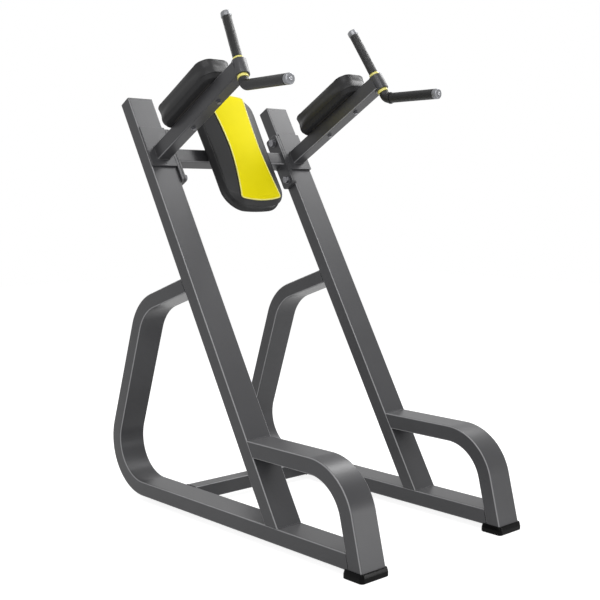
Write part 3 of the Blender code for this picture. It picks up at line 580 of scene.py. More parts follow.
def rounded_rectangle(width, depth, radius, inset=0.0, steps=8):
    """Corner points of a rounded rectangle about the origin, counter-clockwise and drawn in."""
    width, depth, radius = width - 2 * inset, depth - 2 * inset, radius - inset
    points = []
    for corner in range(4):
        cx = (width / 2 - radius) * (1 if corner in (0, 3) else -1)
        cy = (depth / 2 - radius) * (1 if corner in (0, 1) else -1)
        for step in range(steps + 1):
            angle = math.pi / 2 * (corner + step / steps)
            points.append((cx + radius * math.cos(angle), cy + radius * math.sin(angle)))
    return points


def circle(radius, count=64):
    """Points of a circle."""
    return [(radius * math.cos(math.tau * k / count), radius * math.sin(math.tau * k / count))
            for k in range(count)]


def level(outline, height):
    """An outline laid flat at a height."""
    return [Vector((x, y, height)) for x, y in outline]


def slab(outline, low, high):
    """A flat plate between two heights."""
    return from_rings([level(outline, low), level(outline, high)])


def eased(profile, radius, steps=4):
    """A profile of (radius, height) points whose inner corners are rounded."""
    points = [Vector(profile[0])]
    for before, corner, after in zip(profile, profile[1:], profile[2:]):
        corner = Vector(corner)
        back = Vector(before) - corner
        ahead = Vector(after) - corner
        reach = min(radius, back.length * 0.45, ahead.length * 0.45)
        start = corner + back.normalized() * reach
        end = corner + ahead.normalized() * reach
        for k in range(steps + 1):
            share = k / steps
            points.append(start * (1 - share) ** 2 + corner * 2 * share * (1 - share) + end * share ** 2)
    points.append(Vector(profile[-1]))
    return points


def turned(profile, ease, up=1, closed=False, count=64):
    """A piece turned on a lathe, upright or upside down, from a profile whose corners are eased. Its
    map's first value runs along the profile in metres."""
    profile = [Vector((point.x, up * point.y)) for point in eased(profile, ease)]
    travel = [0.0]
    for before, after in zip(profile, profile[1:]):
        travel.append(travel[-1] + (after - before).length)
    mesh = from_rings([level(circle(point.x, count), point.y) for point in profile], closed=closed)
    turning = mesh.loops.layers.uv.new("turning")
    mesh.verts.index_update()
    for face in mesh.faces:
        for loop in face.loops:
            ring, step = divmod(loop.vert.index, count)
            loop[turning].uv = (travel[ring], step / count)
    return mesh


# Frame tubes and plates

def level_plane(height):
    """Level plane at a height: a point and its normal, as all planes here."""
    return Vector((0, 0, height)), UP


def leaning_plane(y, z, lean, depth):
    """Plane through a point of the side frame that leans back, set back by a depth."""
    normal = Vector((0, math.cos(lean), -math.sin(lean)))
    return Vector((0, y, z)) + normal * depth, normal


def upright_plane(depth):
    """Plane parallel to the uprights' front face, this far behind it."""
    return leaning_plane(UPRIGHT_FOOT_Y, BASE_TOP, UPRIGHT_LEAN, depth)


def leg_plane():
    """Plane of the leg's back face."""
    return leaning_plane(LEG_CORNER_Y, FRONT_LOOP_Z, LEG_LEAN, TUBE_DEPTH / 2 + GAP)


def way_to(plane, spot, along):
    """How far a spot has to move in a direction to reach a plane."""
    origin, normal = plane
    return along * ((origin - spot).dot(normal) / along.dot(normal))


def slide_end(mesh, end, inner, plane):
    """Slides the end face of a tube along the tube until it lies on a plane."""
    along = (Vector(end) - Vector(inner)).normalized()
    for vert in mesh.verts:
        out = vert.co - Vector(end)
        if abs(out.dot(along)) < 1e-4 and out.length < TUBE_WIDTH:
            vert.co += way_to(plane, vert.co, along)


def frame_tube(name, node, points, size, ends=(None, None), place=None, cutter=None):
    """A painted square tube along a path, whose ends lie square or on planes. A cutter is mesh data
    that is cut out of it."""
    data = grown(name, TUBE_TREE, path_data(name, [(points, False)]), PAINT,
                 {"Width": size[0], "Depth": size[1], "Corner Radius": TUBE_CORNER,
                  "Bend Radius": BEND_RADIUS, "Bend Steps": 30})
    mesh = merged(data)
    for plane, end, inner in zip(ends, (points[0], points[-1]), (points[1], points[-2])):
        if plane:
            slide_end(mesh, end, inner, plane)
    bmesh.ops.recalc_face_normals(mesh, faces=mesh.faces)
    data = to_data(name, mesh, place)
    if cutter is not None:
        data = minus(data, cutter)
    make_piece(name, data, PAINT, [node], sharp=50, weighted=True)


def front_loop_points(x):
    """Corners of the front loop, from the upright forwards and down to the foot."""
    toe_y = LEG_CORNER_Y - math.tan(LEG_LEAN) * (FRONT_LOOP_Z - BASE_BOTTOM)
    return [(x, UPRIGHT_FOOT_Y, FRONT_LOOP_Z), (x, LEG_CORNER_Y, FRONT_LOOP_Z), (x, toe_y, BASE_BOTTOM)]


def rear_loop_points(x):
    """Corners of the rear loop: from the leg along the floor, up behind and on to the upright."""
    base_z = BASE_BOTTOM + TUBE_DEPTH / 2
    top_y = REAR_CORNER_Y - math.tan(REAR_LEAN) * (REAR_TOP_Z - base_z)
    return [(x, LEG_CORNER_Y, base_z), (x, REAR_CORNER_Y, base_z), (x, top_y, REAR_TOP_Z),
            (x, top_y - REAR_RUN * math.cos(REAR_LEAN), REAR_TOP_Z + REAR_RUN * math.sin(REAR_LEAN))]


def side_frame(side, sign):
    """The two bent loops and the leaning post of one side."""
    x = sign * FRAME_X
    frame_tube(side + "_front_loop_tube", side + "_front_loop", front_loop_points(x), WIDE_TUBE,
               (upright_plane(-GAP), level_plane(BASE_BOTTOM)))
    frame_tube(side + "_rear_loop_tube", side + "_rear_loop", rear_loop_points(x), WIDE_TUBE,
               (leg_plane(), upright_plane(TUBE_DEPTH + GAP)))
    post = [LEAN @ Vector((x, TUBE_DEPTH / 2, height)) for height in (0, UPRIGHT_LENGTH)]
    frame_tube(side + "_post_tube", side + "_upright", post, WIDE_TUBE, (level_plane(BASE_TOP + GAP), None))


def post_cap(side, sign):
    """Closing cap on the post: a thin plate with a rounded top edge."""
    edge = CAP_THICKNESS / 3
    wall = ((0, GAP), (0, CAP_THICKNESS - edge), (edge * 0.3, CAP_THICKNESS - edge * 0.3),
            (edge, CAP_THICKNESS))
    rings = [level(rounded_rectangle(*WIDE_TUBE, TUBE_CORNER, inset), height) for inset, height in wall]
    make_piece(side + "_post_cap", from_rings(rings), PAINT, [side + "_upright_cap"],
               LEAN @ shift(sign * FRAME_X, TUBE_DEPTH / 2, UPRIGHT_LENGTH), weighted=True)


def arm_flange(side, sign):
    """Plate on the front of the post that the arm is welded to."""
    low, high = ARM_PLATE
    outline = rounded_rectangle(TUBE_WIDTH - GAP, high - low, ARM_PLATE_CORNER)
    make_piece(side + "_arm_flange", slab(outline, GAP, ARM_PLATE_THICKNESS), PAINT, [side + "_arm_plate"],
               LEAN @ shift(sign * FRAME_X, 0, (low + high) / 2) @ FORWARDS, bevel=PLATE_EDGE)


def bolted_flanges(side, sign):
    """The post's flange and the crossbar's end plate, bolted face to face with a fine seam between."""
    low, high = SIDE_PLATE
    outline = rounded_rectangle(high - low, TUBE_DEPTH + ARM_PLATE_THICKNESS, SIDE_PLATE_CORNER)
    mesh = slab(outline, GAP, FLANGE_THICKNESS)
    mesh.from_mesh(to_data("end_plate", slab(outline, FLANGE_THICKNESS + FLANGE_SEAM, SIDE_PLATE_THICKNESS)))
    place = (LEAN @ shift(sign * INNER_FACE, (TUBE_DEPTH - ARM_PLATE_THICKNESS) / 2, (low + high) / 2)
             @ turn(-sign * math.radians(90), 'Y'))
    make_piece(side + "_bolted_flanges", mesh, PAINT, [side + "_side_plate"], place, bevel=PLATE_EDGE)


def arm_tube(side, sign):
    """Square arm from its flange forwards, coped round the handle's sleeve."""
    line = [LEAN @ Vector((sign * ARM_X, y, ARM_HEIGHT)) for y in (-ARM_PLATE_THICKNESS - GAP, -HANDLE_REACH)]
    cope = slab(circle(SLEEVE_RADIUS + GAP, 96), -SMALL_TUBE, SMALL_TUBE)
    frame_tube(side + "_arm_tube", side + "_arm", line, SQUARE_TUBE,
               cutter=to_data("cope", cope, handle_frame(sign)))


def cross_tubes():
    """The crossbar behind the back rest and the one on the floor."""
    half = INNER_FACE - SIDE_PLATE_THICKNESS - GAP
    line = [(x, SMALL_TUBE / 2, ARM_HEIGHT) for x in (-half, half)]
    frame_tube("upper_cross_tube", "upper_crossbar", line, SQUARE_TUBE, place=LEAN)
    half = INNER_FACE - GAP
    line = [(x, FLOOR_BAR_Y, BASE_BOTTOM + SMALL_TUBE / 2) for x in (-half, half)]
    frame_tube("floor_cross_tube", "floor_crossbar", line, SQUARE_TUBE)


def rest_mount_plate():
    """Plate on the crossbar that carries the back rest."""
    shape = slab(rounded_rectangle(*BACK_PLATE, BACK_PLATE_CORNER), GAP, BACK_PLATE_THICKNESS)
    make_piece("rest_mount_plate", shape, PAINT, ["back_pad_plate"],
               LEAN @ shift(0, 0, ARM_HEIGHT) @ FORWARDS, bevel=BACK_PLATE_EDGE)


# Feet

def front_boot(side, sign):
    """Moulded boot under the leg: round corners, soft edges and a rim that holds the tube."""
    width, length, height = FRONT_FOOT_SIZE
    # Inset and height of its outer wall: a soft lower edge, and a flare from the top to half way
    wall = [(0.0030, 0.0), (0.0018, 0.0002), (0.0009, 0.0009), (0.0002, 0.0018), (0.0, 0.0030),
            (0.0, 0.0125), (0.0004, 0.0150), (0.0012, 0.0180), (0.0024, 0.0225), (0.0030, 0.0245),
            (0.0036, 0.0258), (0.0046, height)]
    rings = [level(rounded_rectangle(width, length, FRONT_FOOT_CORNER, inset, 12), z) for inset, z in wall]
    body = to_data("boot", from_rings(rings), shift(sign * FRAME_X, FRONT_FOOT_Y, 0))
    pocket = slab(rounded_rectangle(TUBE_WIDTH + 4 * GAP, length, TUBE_CORNER), FOOT_HEIGHT, 2 * height)
    pocket_data = to_data("pocket", pocket, shift(sign * FRAME_X, FRONT_FOOT_Y + FRONT_FOOT_RIM, 0))
    make_piece(side + "_front_boot", minus(body, pocket_data), BOOT_RUBBER, [side + "_front_foot"],
               sharp=40, weighted=True)


def rear_stud(side, sign):
    """Round rubber foot with a waist line and eased edges."""
    radius = REAR_FOOT_RADIUS
    profile = [(0.004, 0), (radius - 0.001, 0), (radius, 0.004), (radius, 0.009), (radius - 0.0012, 0.0105),
               (radius - 0.0012, 0.0125), (radius - 0.0004, 0.014), (radius - 0.0006, FOOT_HEIGHT),
               (0.004, FOOT_HEIGHT)]
    make_piece(side + "_rear_stud", turned(profile, TURNED_EDGE), BOOT_RUBBER, [side + "_rear_foot"],
               shift(sign * (FRAME_X - REAR_FOOT_INSET), REAR_FOOT_Y, 0))


# Handles

def handle_frame(sign):
    """Frame of the handle's sleeve: Z along its axis, the lower leg towards -Y."""
    return LEAN @ shift(sign * ARM_X, -HANDLE_REACH, ARM_HEIGHT) @ turn(-sign * HANDLE_TILT, 'Y')


def lower_leg(distance):
    """Point on the lower leg, this far from the bar's corner."""
    return Vector((0, -math.sin(BAR_TURN) * distance, -BAR_CORNER - math.cos(BAR_TURN) * distance))


def leg_frame(distance):
    """Frame on the lower leg, this far from the bar's corner, with Z along the leg."""
    return shift(*lower_leg(distance)) @ turn(math.pi - BAR_TURN, 'X')


def sleeve(side, sign):
    """Welded sleeve with eased rims."""
    profile = [(SLEEVE_BORE, 0), (SLEEVE_BORE, SLEEVE_HALF), (SLEEVE_RADIUS, SLEEVE_HALF),
               (SLEEVE_RADIUS, -SLEEVE_HALF), (SLEEVE_BORE, -SLEEVE_HALF), (SLEEVE_BORE, -0.001)]
    make_piece(side + "_sleeve_tube", turned(profile, TURNED_EDGE, closed=True), PAINT,
               [side + "_handle_sleeve"], handle_frame(sign))


def bushes(side, sign):
    """The flange of each bush, at both ends of the sleeve, and the neck behind it."""
    seat = SLEEVE_HALF + GAP
    top = seat + BUSH_FLANGE
    profile = [(BUSH_BORE, seat - BUSH_NECK), (BUSH_BORE, top), (BUSH_FLANGE_RADIUS - 0.0006, top),
               (BUSH_FLANGE_RADIUS, seat + BUSH_FLANGE * 0.8), (BUSH_FLANGE_RADIUS, seat),
               (SLEEVE_BORE - GAP, seat), (SLEEVE_BORE - GAP, seat - BUSH_NECK)]
    for which, up in (("upper", 1), ("lower", -1)):
        make_piece(f"{side}_{which}_bush_flange", turned(profile, TURNED_EDGE, up, closed=True), ACETAL,
                   [f"{side}_{which}_bush"], handle_frame(sign))


def round_bar(name, node, points, radius, finish, place, body, ribs=0, sharp=35):
    """A round bar or ribbed grip along a path."""
    data = grown(name, ROUND_TREE, path_data(name, [(points, False)]), finish,
                 {"Radius": radius, "Facets": ribs * 6 or 64, "Ribs": float(ribs),
                  "Rib Depth": RIB_DEPTH if ribs else 0.0, "Bend Radius": BAR_BEND_RADIUS, "Bend Steps": 16})
    mesh = merged(data)
    bmesh.ops.recalc_face_normals(mesh, faces=mesh.faces)
    make_piece(name, mesh, finish, [node], place, body, sharp)


def bar_and_grips(side, sign, body):
    """Bent steel bar that turns in the bushes, and its ribbed rubber grips: a straight one above and
    one that follows the bend below. The right-hand bar has a collar at the root of its lower grip."""
    place = handle_frame(sign)
    top, corner, tip = (0, 0, UPPER_GRIP_END), (0, 0, -BAR_CORNER), lower_leg(LOWER_GRIP_END)
    round_bar(side + "_swivel_bar", side + "_handle_bar", [top, corner, tip], BAR_RADIUS, BAR_STEEL,
              place, body)
    for which, points, radius in (("upper", [(0, 0, GRIP_START), top], UPPER_GRIP_RADIUS),
                                  ("lower", [(0, 0, -GRIP_START), corner, tip], LOWER_GRIP_RADIUS)):
        round_bar(f"{side}_{which}_grip_rubber", f"{side}_{which}_grip", points, radius - RIB_DEPTH,
                  GRIP_RUBBER, place, body, GRIP_RIBS, 50)
    if side == "right":
        near, far = GRIP_COLLAR
        inner = LOWER_GRIP_RADIUS - 0.002
        profile = [(inner, 0), (GRIP_COLLAR_RADIUS, 0), (GRIP_COLLAR_RADIUS, far - near), (inner, far - near)]
        make_piece("right_grip_collar", turned(profile, COLLAR_EDGE), GRIP_RUBBER,
                   place=place @ leg_frame(near), body=body)


def bar_ends(sign):
    """Frames at both ends of the bar, with Z outwards."""
    return (("upper", handle_frame(sign) @ shift(0, 0, UPPER_GRIP_END)),
            ("lower", handle_frame(sign) @ leg_frame(LOWER_GRIP_END)))


def end_caps(side, sign, body):
    """Turned aluminium cap on each end of the handle, with a rim line and a countersunk face."""
    edge = CAP_LENGTH / 7
    neck = CAP_RADIUS - CAP_NECK
    profile = [(BAR_RADIUS, CAP_SEAT - 0.004), (neck, CAP_SEAT - 0.004), (neck, CAP_SEAT - 0.0002),
               (CAP_RADIUS, CAP_SEAT), (CAP_RADIUS, CAP_LENGTH - edge), (CAP_RADIUS - edge, CAP_LENGTH),
               (CAP_BORE + 0.002, CAP_LENGTH), (CAP_BORE, CAP_LENGTH - 0.0015)]
    for which, place in bar_ends(sign):
        make_piece(f"{side}_{which}_turned_cap", turned(profile, CAP_EDGE), ALUMINIUM,
                   [f"{side}_{which}_end_cap"], place, body)


# Fasteners

def hexagon(flat, count, height):
    """Points round a hexagon. The height is a number or a function of the distance from the middle."""
    points = []
    for k in range(count):
        angle = math.tau * k / count
        reach = flat / math.cos((angle + math.pi / 6) % (math.pi / 3) - math.pi / 6)
        points.append(Vector((reach * math.cos(angle), reach * math.sin(angle),
                              height(reach) if callable(height) else height)))
    return points


def hex_head(sizes, count=48):
    """Hexagon head with its chamfer, on a round washer, along Z from z = 0."""
    head_height, across_flats, washer_radius, washer_height = sizes
    flat = across_flats / 2
    chamfer = flat * 0.97
    top = washer_height + head_height
    washer = eased([(0.0, 0), (washer_radius, 0), (washer_radius, washer_height),
                    (flat, washer_height)], 0.0005)
    rings = [level(circle(max(point.x, 0.0005), count), point.y) for point in washer]
    rings.append(hexagon(flat, count, washer_height))
    rings.append(hexagon(flat, count, lambda reach: top - (reach - chamfer) * math.tan(math.radians(30))))
    for share, depth in ((1, 0), (0.82, 0.0001), (0.72, head_height * 0.08)):
        rings.append(level(circle(chamfer * share, count), top - depth))
    return from_rings(rings)


def button_head(count=36):
    """Domed screw head with a hexagon socket, along Z from z = 0."""
    radius, height = SCREW_HEAD_RADIUS, SCREW_HEAD_HEIGHT
    rings = [level(circle(radius * 0.9, count), -0.002), level(circle(radius, count), 0.0)]
    for k in range(1, 6):
        angle = math.pi / 2 * (1 - k / 7)
        rings.append(level(circle(radius * math.sin(angle), count), height * math.cos(angle) ** 0.8))
    socket = radius * 0.30
    rings.append(hexagon(socket, count, height * 0.98))
    rings.append(hexagon(socket * 0.97, count, height * 0.35))
    return from_rings(rings)


def fastener_tree():
    """A fastener set on every point, along the point's own axis."""
    tree, entry = new_tree("fasteners", {"Fastener": 'Object'})
    shape = add_node(tree, "GeometryNodeObjectInfo", {"Object": entry["Fastener"]})
    axis = add_node(tree, "GeometryNodeInputNamedAttribute", {"Name": "axis"}, data_type='FLOAT_VECTOR')
    across = add_node(tree, "GeometryNodeInputNamedAttribute", {"Name": "across"}, data_type='FLOAT_VECTOR')
    stand = add_node(tree, "FunctionNodeAlignRotationToVector", {"Vector": axis}, axis='Z')
    spin = add_node(tree, "FunctionNodeAlignRotationToVector", {"Rotation": stand,
                                                                "Vector": across},
                    axis='X', pivot_axis='Z')
    points = add_node(tree, "GeometryNodeMeshToPoints", {0: entry["Geometry"]})
    placed = add_node(tree, "GeometryNodeInstanceOnPoints", {"Points": points,
                                                             "Instance": shape.outputs["Geometry"],
                                                             "Rotation": spin})
    return end_tree(tree, entry, placed)


FASTENER_TREE = fastener_tree()


def fasteners(name, mesh, spots, finish, nodes=(), body="station", sharp=80):
    """A piece of many copies of one small shape, each at a point with its axis and the direction
    across it."""
    master = in_scene(name + "_master", to_data(name + "_master", mesh))
    data = bpy.data.meshes.new(name)
    data.from_pydata([spot for spot, _, _ in spots], [], [])
    for label, which in (("axis", 1), ("across", 2)):
        attribute = data.attributes.new(label, 'FLOAT_VECTOR', 'POINT')
        for k, spot in enumerate(spots):
            attribute.data[k].vector = spot[which]
    made = grown(name, FASTENER_TREE, data, finish, {"Fastener": master})
    bpy.data.objects.remove(master)
    make_piece(name, made, finish, nodes, body=body, sharp=sharp)


def flange_bolts():
    """Four flanged bolts through the bolted flanges."""
    spots = []
    for _, sign in SIDES:
        for number, height in enumerate(SIDE_PLATE_BOLTS):
            place = Vector((sign * (INNER_FACE - SIDE_PLATE_THICKNESS - GAP), SIDE_PLATE_BOLT_DEPTH, height))
            # Each was tightened to an angle of its own
            spin = math.radians(14 + 23 * number)
            spots.append((LEAN @ place, ACROSS * -sign, lean_direction((0, math.cos(spin), math.sin(spin)))))
    nodes = [f"{side}_plate_bolt_{which}" for side, _ in SIDES for which in ("lower", "upper")]
    fasteners("flange_bolts", hex_head(PLATE_BOLT), spots, DARK_STEEL, nodes, sharp=25)


def cushion_bolts():
    """Bolts up through the arms and forwards through the mounting plate into the boards."""
    spots = []
    nodes = []
    for side, sign in SIDES:
        for which, reach in zip(("rear", "front"), ARM_BOLTS):
            place = Vector((sign * ARM_X, -reach, ARM_HEIGHT - SMALL_TUBE / 2 - GAP))
            spots.append((LEAN @ place, lean_direction((0, 0, -1)), lean_direction((0.9, 0.3, 0))))
            nodes.append(f"{side}_arm_pad_bolt_{which}")
        for which, up in (("lower", -1), ("upper", 1)):
            place = Vector((sign * BACK_BOLT_X, 0, ARM_HEIGHT + up * BACK_BOLT_Z))
            spots.append((LEAN @ place, lean_direction((0, 1, 0)), lean_direction((1, 0, 0.2 * up))))
            nodes.append(f"back_pad_bolt_{side}_{which}")
    fasteners("cushion_bolts", hex_head(PAD_BOLT), spots, DARK_STEEL, nodes, sharp=25)


def cap_screws(side, sign, body):
    """The button-head screw in each end cap."""
    places = [place @ shift(0, 0, CAP_LENGTH) for _, place in bar_ends(sign)]
    spots = [(place.translation, place.to_3x3() @ UP, place.to_3x3() @ ACROSS) for place in places]
    fasteners(side + "_cap_screws", button_head(), spots, CAP_SCREW_STEEL,
              [f"{side}_{which}_cap_screw" for which in ("upper", "lower")], body, 35)


# Welds

def bead_tree():
    """Rippled bead along every path: a weld or a piping."""
    tree, entry = new_tree("weld_bead", {"Bead Radius": 'Float', "Ripple Pitch": 'Float',
                                         "Ripple Share": 'Float'})
    line = add_node(tree, "GeometryNodeMeshToCurve", {0: entry["Geometry"]})
    step = calculated(tree, 'DIVIDE', entry["Ripple Pitch"], 4.0)
    even = add_node(tree, "GeometryNodeResampleCurve", {"Curve": line, "Length": step}, mode='LENGTH')
    travel = add_node(tree, "GeometryNodeSplineParameter").outputs["Length"]
    turns = calculated(tree, 'DIVIDE', travel, entry["Ripple Pitch"])
    wave = calculated(tree, 'SINE', calculated(tree, 'MULTIPLY', turns, math.tau))
    share = calculated(tree, 'MULTIPLY_ADD', wave, entry["Ripple Share"], 1.0)
    section = add_node(tree, "GeometryNodeCurvePrimitiveCircle", {"Resolution": 8,
                                                                  "Radius": entry["Bead Radius"]})
    drawn = add_node(tree, "GeometryNodeCurveToMesh", {"Curve": even, "Scale": share,
                                                       "Profile Curve": section, "Fill Caps": True})
    return end_tree(tree, entry, drawn)


BEAD_TREE = bead_tree()


def beads(name, paths, finish, sizes):
    """A piece of rippled beads along paths."""
    data = grown(name, BEAD_TREE, path_data(name, paths), finish,
                 dict(zip(("Bead Radius", "Ripple Pitch", "Ripple Share"), sizes)))
    make_piece(name, data, finish, sharp=60)


def edge_joints(x):
    """Where the wide tubes meet each other: a point on each edge, its direction and the plane."""
    half = TUBE_DEPTH / 2
    last, end = [Vector(point) for point in rear_loop_points(x)[2:]]
    rise = (end - last).normalized()
    rise_up = Vector((0, rise.z, -rise.y))
    return [(Vector((x, 0, FRONT_LOOP_Z + half)), BACKWARDS, upright_plane(0)),
            (Vector((x, 0, FRONT_LOOP_Z - half)), BACKWARDS, upright_plane(0)),
            (end + rise_up * half, rise, upright_plane(TUBE_DEPTH)),
            (end - rise_up * half, rise, upright_plane(TUBE_DEPTH)),
            (Vector((x, 0, BASE_TOP)), BACKWARDS, leg_plane()),
            (LEAN @ Vector((x, 0, 0)), lean_direction(UP), level_plane(BASE_TOP)),
            (LEAN @ Vector((x, TUBE_DEPTH, 0)), lean_direction(UP), level_plane(BASE_TOP))]


def welds():
    """Beads where the tubes and plates of the frame meet."""
    paths = []
    inset = TUBE_WIDTH / 2 - TUBE_CORNER
    for _, sign in SIDES:
        # Ends of the square tubes: middle, the two directions across the tube, and its depth. The floor
        # bar is as deep as the base tube, whose corners are round, so its ring is a little shallower.
        arm_root = LEAN @ Vector((sign * ARM_X, -ARM_PLATE_THICKNESS, ARM_HEIGHT))
        bar_end = LEAN @ Vector((sign * (INNER_FACE - SIDE_PLATE_THICKNESS), SMALL_TUBE / 2, ARM_HEIGHT))
        floor_end = Vector((sign * INNER_FACE, FLOOR_BAR_Y, BASE_BOTTOM + SMALL_TUBE / 2))
        for middle, one, other, depth in (
                (arm_root, ACROSS, lean_direction(UP), SMALL_TUBE),
                (bar_end, lean_direction(BACKWARDS), lean_direction(UP), SMALL_TUBE),
                (floor_end, BACKWARDS, UP, SMALL_TUBE - FLOOR_WELD_DROP)):
            outline = rounded_rectangle(SMALL_TUBE + WELD_RING, depth + WELD_RING, TUBE_CORNER, steps=4)
            paths.append(([middle + one * a + other * b for a, b in outline], True))
        for spot, along, plane in edge_joints(sign * FRAME_X):
            met = spot + way_to(plane, spot, along)
            paths.append(([met - ACROSS * inset, met + ACROSS * inset], False))
    beads("frame_welds", paths, PAINT, WELD_BEAD)


# Cushions

def cushion_outline(half_width, low, high, low_corner, high_corner, sides=44, ends=14, turns=14):
    """Outline of a cushion or panel: two sides whose half width is a function of the height
    along them, two ends and four round corners, with the same points in the same order."""
    def corner(centre_y, corner_radius, start):
        centre_x = half_width(centre_y) - corner_radius
        return [(centre_x + corner_radius * math.cos(start + math.pi / 2 * k / turns),
                 centre_y + corner_radius * math.sin(start + math.pi / 2 * k / turns))
                for k in range(turns + 1)]

    def spread(first, last, count):
        return [first + (last - first) * (k + 1) / (count + 1) for k in range(count)]

    first, last = low + low_corner, high - high_corner
    upper = corner(last, high_corner, 0)
    lower = corner(first, low_corner, -math.pi / 2)
    right = lower + [(half_width(y), y) for y in spread(first, last, sides)] + upper
    top = [(x, high) for x in spread(upper[-1][0], -upper[-1][0], ends)]
    bottom = [(x, low) for x in spread(-lower[0][0], lower[0][0], ends)]
    return right + top + [(-x, y) for x, y in reversed(right)] + bottom


def bowed(outline, bow, low, high):
    """An outline whose ends, at a low and a high point along its second axis, bow out between
    their corners."""
    middle = (low + high) / 2
    half = (high - low) / 2
    half_width = max(x for x, _ in outline)
    return [(x, y - bow * (x / half_width) ** 2 * (y - middle) / half) for x, y in outline]


def toward_spine(outline, factor, low, high):
    """An outline drawn in towards a spine that runs from a low to a high point along its
    second axis."""
    drawn = []
    for x, y in outline:
        spine = max(low, min(high, y))
        drawn.append((x * factor, spine + (y - spine) * factor))
    return drawn


def blended(first, second, share):
    """An outline part of the way from one outline to another."""
    return [(a[0] + (b[0] - a[0]) * share, a[1] + (b[1] - a[1]) * share)
            for a, b in zip(first, second)]


def smooth_curve(knots, share):
    """Value of a smooth curve through (share, value) knots."""
    for k in range(len(knots) - 1):
        (x0, y0), (x1, y1) = knots[k], knots[k + 1]
        if share <= x1:
            before = knots[max(k - 1, 0)]
            after = knots[min(k + 2, len(knots) - 1)]
            slope0 = (y1 - before[1]) / (x1 - before[0])
            slope1 = (after[1] - y0) / (after[0] - x0)
            t = (share - x0) / (x1 - x0)
            width = x1 - x0
            return (y0 * (1 + 2 * t) * (1 - t) ** 2 + width * slope0 * t * (1 - t) ** 2
                    + y1 * t * t * (3 - 2 * t) + width * slope1 * t * t * (t - 1))
    return knots[-1][1]


def closed_shell(rings):
    """Skins rings and closes both ends with triangles."""
    mesh = from_rings(rings, caps=False)
    bmesh.ops.holes_fill(mesh, edges=[edge for edge in mesh.edges if edge.is_boundary])
    bmesh.ops.triangulate(mesh, faces=[face for face in mesh.faces if len(face.verts) > 4])
    bmesh.ops.recalc_face_normals(mesh, faces=mesh.faces)
    return mesh


# Vinyl that stretches a little and hardly bends, blown up from within
CLOTH = {"quality": 6, "mass": 0.4, "tension_stiffness": 25, "compression_stiffness": 25,
         "shear_stiffness": 10, "bending_stiffness": 2, "use_pressure": True,
         "uniform_pressure_force": 4.0, "vertex_group_mass": "held"}
CLOTH_FRAMES = 20


def inflated(name, rings, pins, cap):
    """Blows a sewn shell up like a stuffed cushion. Pinned rings are its seams and its board side,
    and no point moves further than the cap."""
    data = to_data(name, closed_shell(rings))
    start = [vert.co.copy() for vert in data.vertices]
    shell = in_scene(name + "_shell", data)
    held = shell.vertex_groups.new(name="held")
    count = len(rings[0])
    for ring in pins:
        held.add(range(ring * count, (ring + 1) * count), 1.0, 'REPLACE')
    cloth = shell.modifiers.new("cloth", 'CLOTH')
    for setting, value in CLOTH.items():
        setattr(cloth.settings, setting, value)
    cloth.settings.effector_weights.gravity = 0
    cloth.point_cache.frame_start = 1
    cloth.point_cache.frame_end = CLOTH_FRAMES
    scene = bpy.context.scene
    for step in range(CLOTH_FRAMES):
        scene.frame_set(step + 1)
    blown = shell.evaluated_get(bpy.context.evaluated_depsgraph_get()).data
    moved = []
    for before, vert in zip(start, blown.vertices):
        push = vert.co - before
        if push.length > 1e-9:
            push *= cap * math.tanh(push.length / cap) / push.length
        moved.append(before + push)
    scene.frame_set(1)
    bpy.data.objects.remove(shell)
    for vert, place in zip(data.vertices, moved):
        vert.co = place
    return data


def sewn(data, count, seams, depth, shaded=()):
    """Draws the seam rings in, so that each makes a fine groove, and marks the creases, which the vinyl
    darkens as painted shade and grime: the seams, and other rings that lie in one."""
    normals = [vert.normal.copy() for vert in data.vertices]
    crease = data.attributes.new("crease", 'FLOAT', 'POINT')
    for ring in seams:
        for k in range(ring * count, (ring + 1) * count):
            data.vertices[k].co -= normals[k] * depth
    for ring in list(seams) + list(shaded):
        for k in range(ring * count, (ring + 1) * count):
            crease.data[k].value = 1.0


def ring_points(data, count, ring):
    """The points of one ring, with their normals."""
    return [(data.vertices[k].co.copy(), data.vertices[k].normal.copy())
            for k in range(ring * count, (ring + 1) * count)]


def finer(data):
    """The mesh after one smooth subdivision."""
    shell = in_scene("shell", data)
    smooth = shell.modifiers.new("smooth", 'SUBSURF')
    smooth.levels = 1
    smooth.render_levels = 1
    return evaluated(shell)


def back_pad_half_width(z):
    """Half width of the back cushion: a slight waist at the middle and a slight taper."""
    share = (z - BACK_PAD_MIDDLE) / (BACK_PAD_TOP - BACK_PAD_BOTTOM) * 2
    return BACK_PAD_HALF_WIDTH + BACK_PAD_TAPER * share - BACK_PAD_WAIST * math.cos(share) ** 2


def panel_half_width(z):
    """Half width of the yellow panel: narrow at the waist and wide at both ends."""
    share = (z - BACK_PAD_MIDDLE) / (BACK_PAD_MIDDLE - PANEL_BOTTOM)
    return PANEL_WAIST + (PANEL_WIDE[share > 0] - PANEL_WAIST) * abs(share) ** 1.6


def panel_depth(z):
    """Depth of the panel's rim: the cushion's front is arched along its height."""
    share = (z - BACK_PAD_MIDDLE) / (BACK_PAD_MIDDLE - PANEL_BOTTOM)
    return BACK_PAD_FRONT - BACK_PAD_ARCH * share ** 2


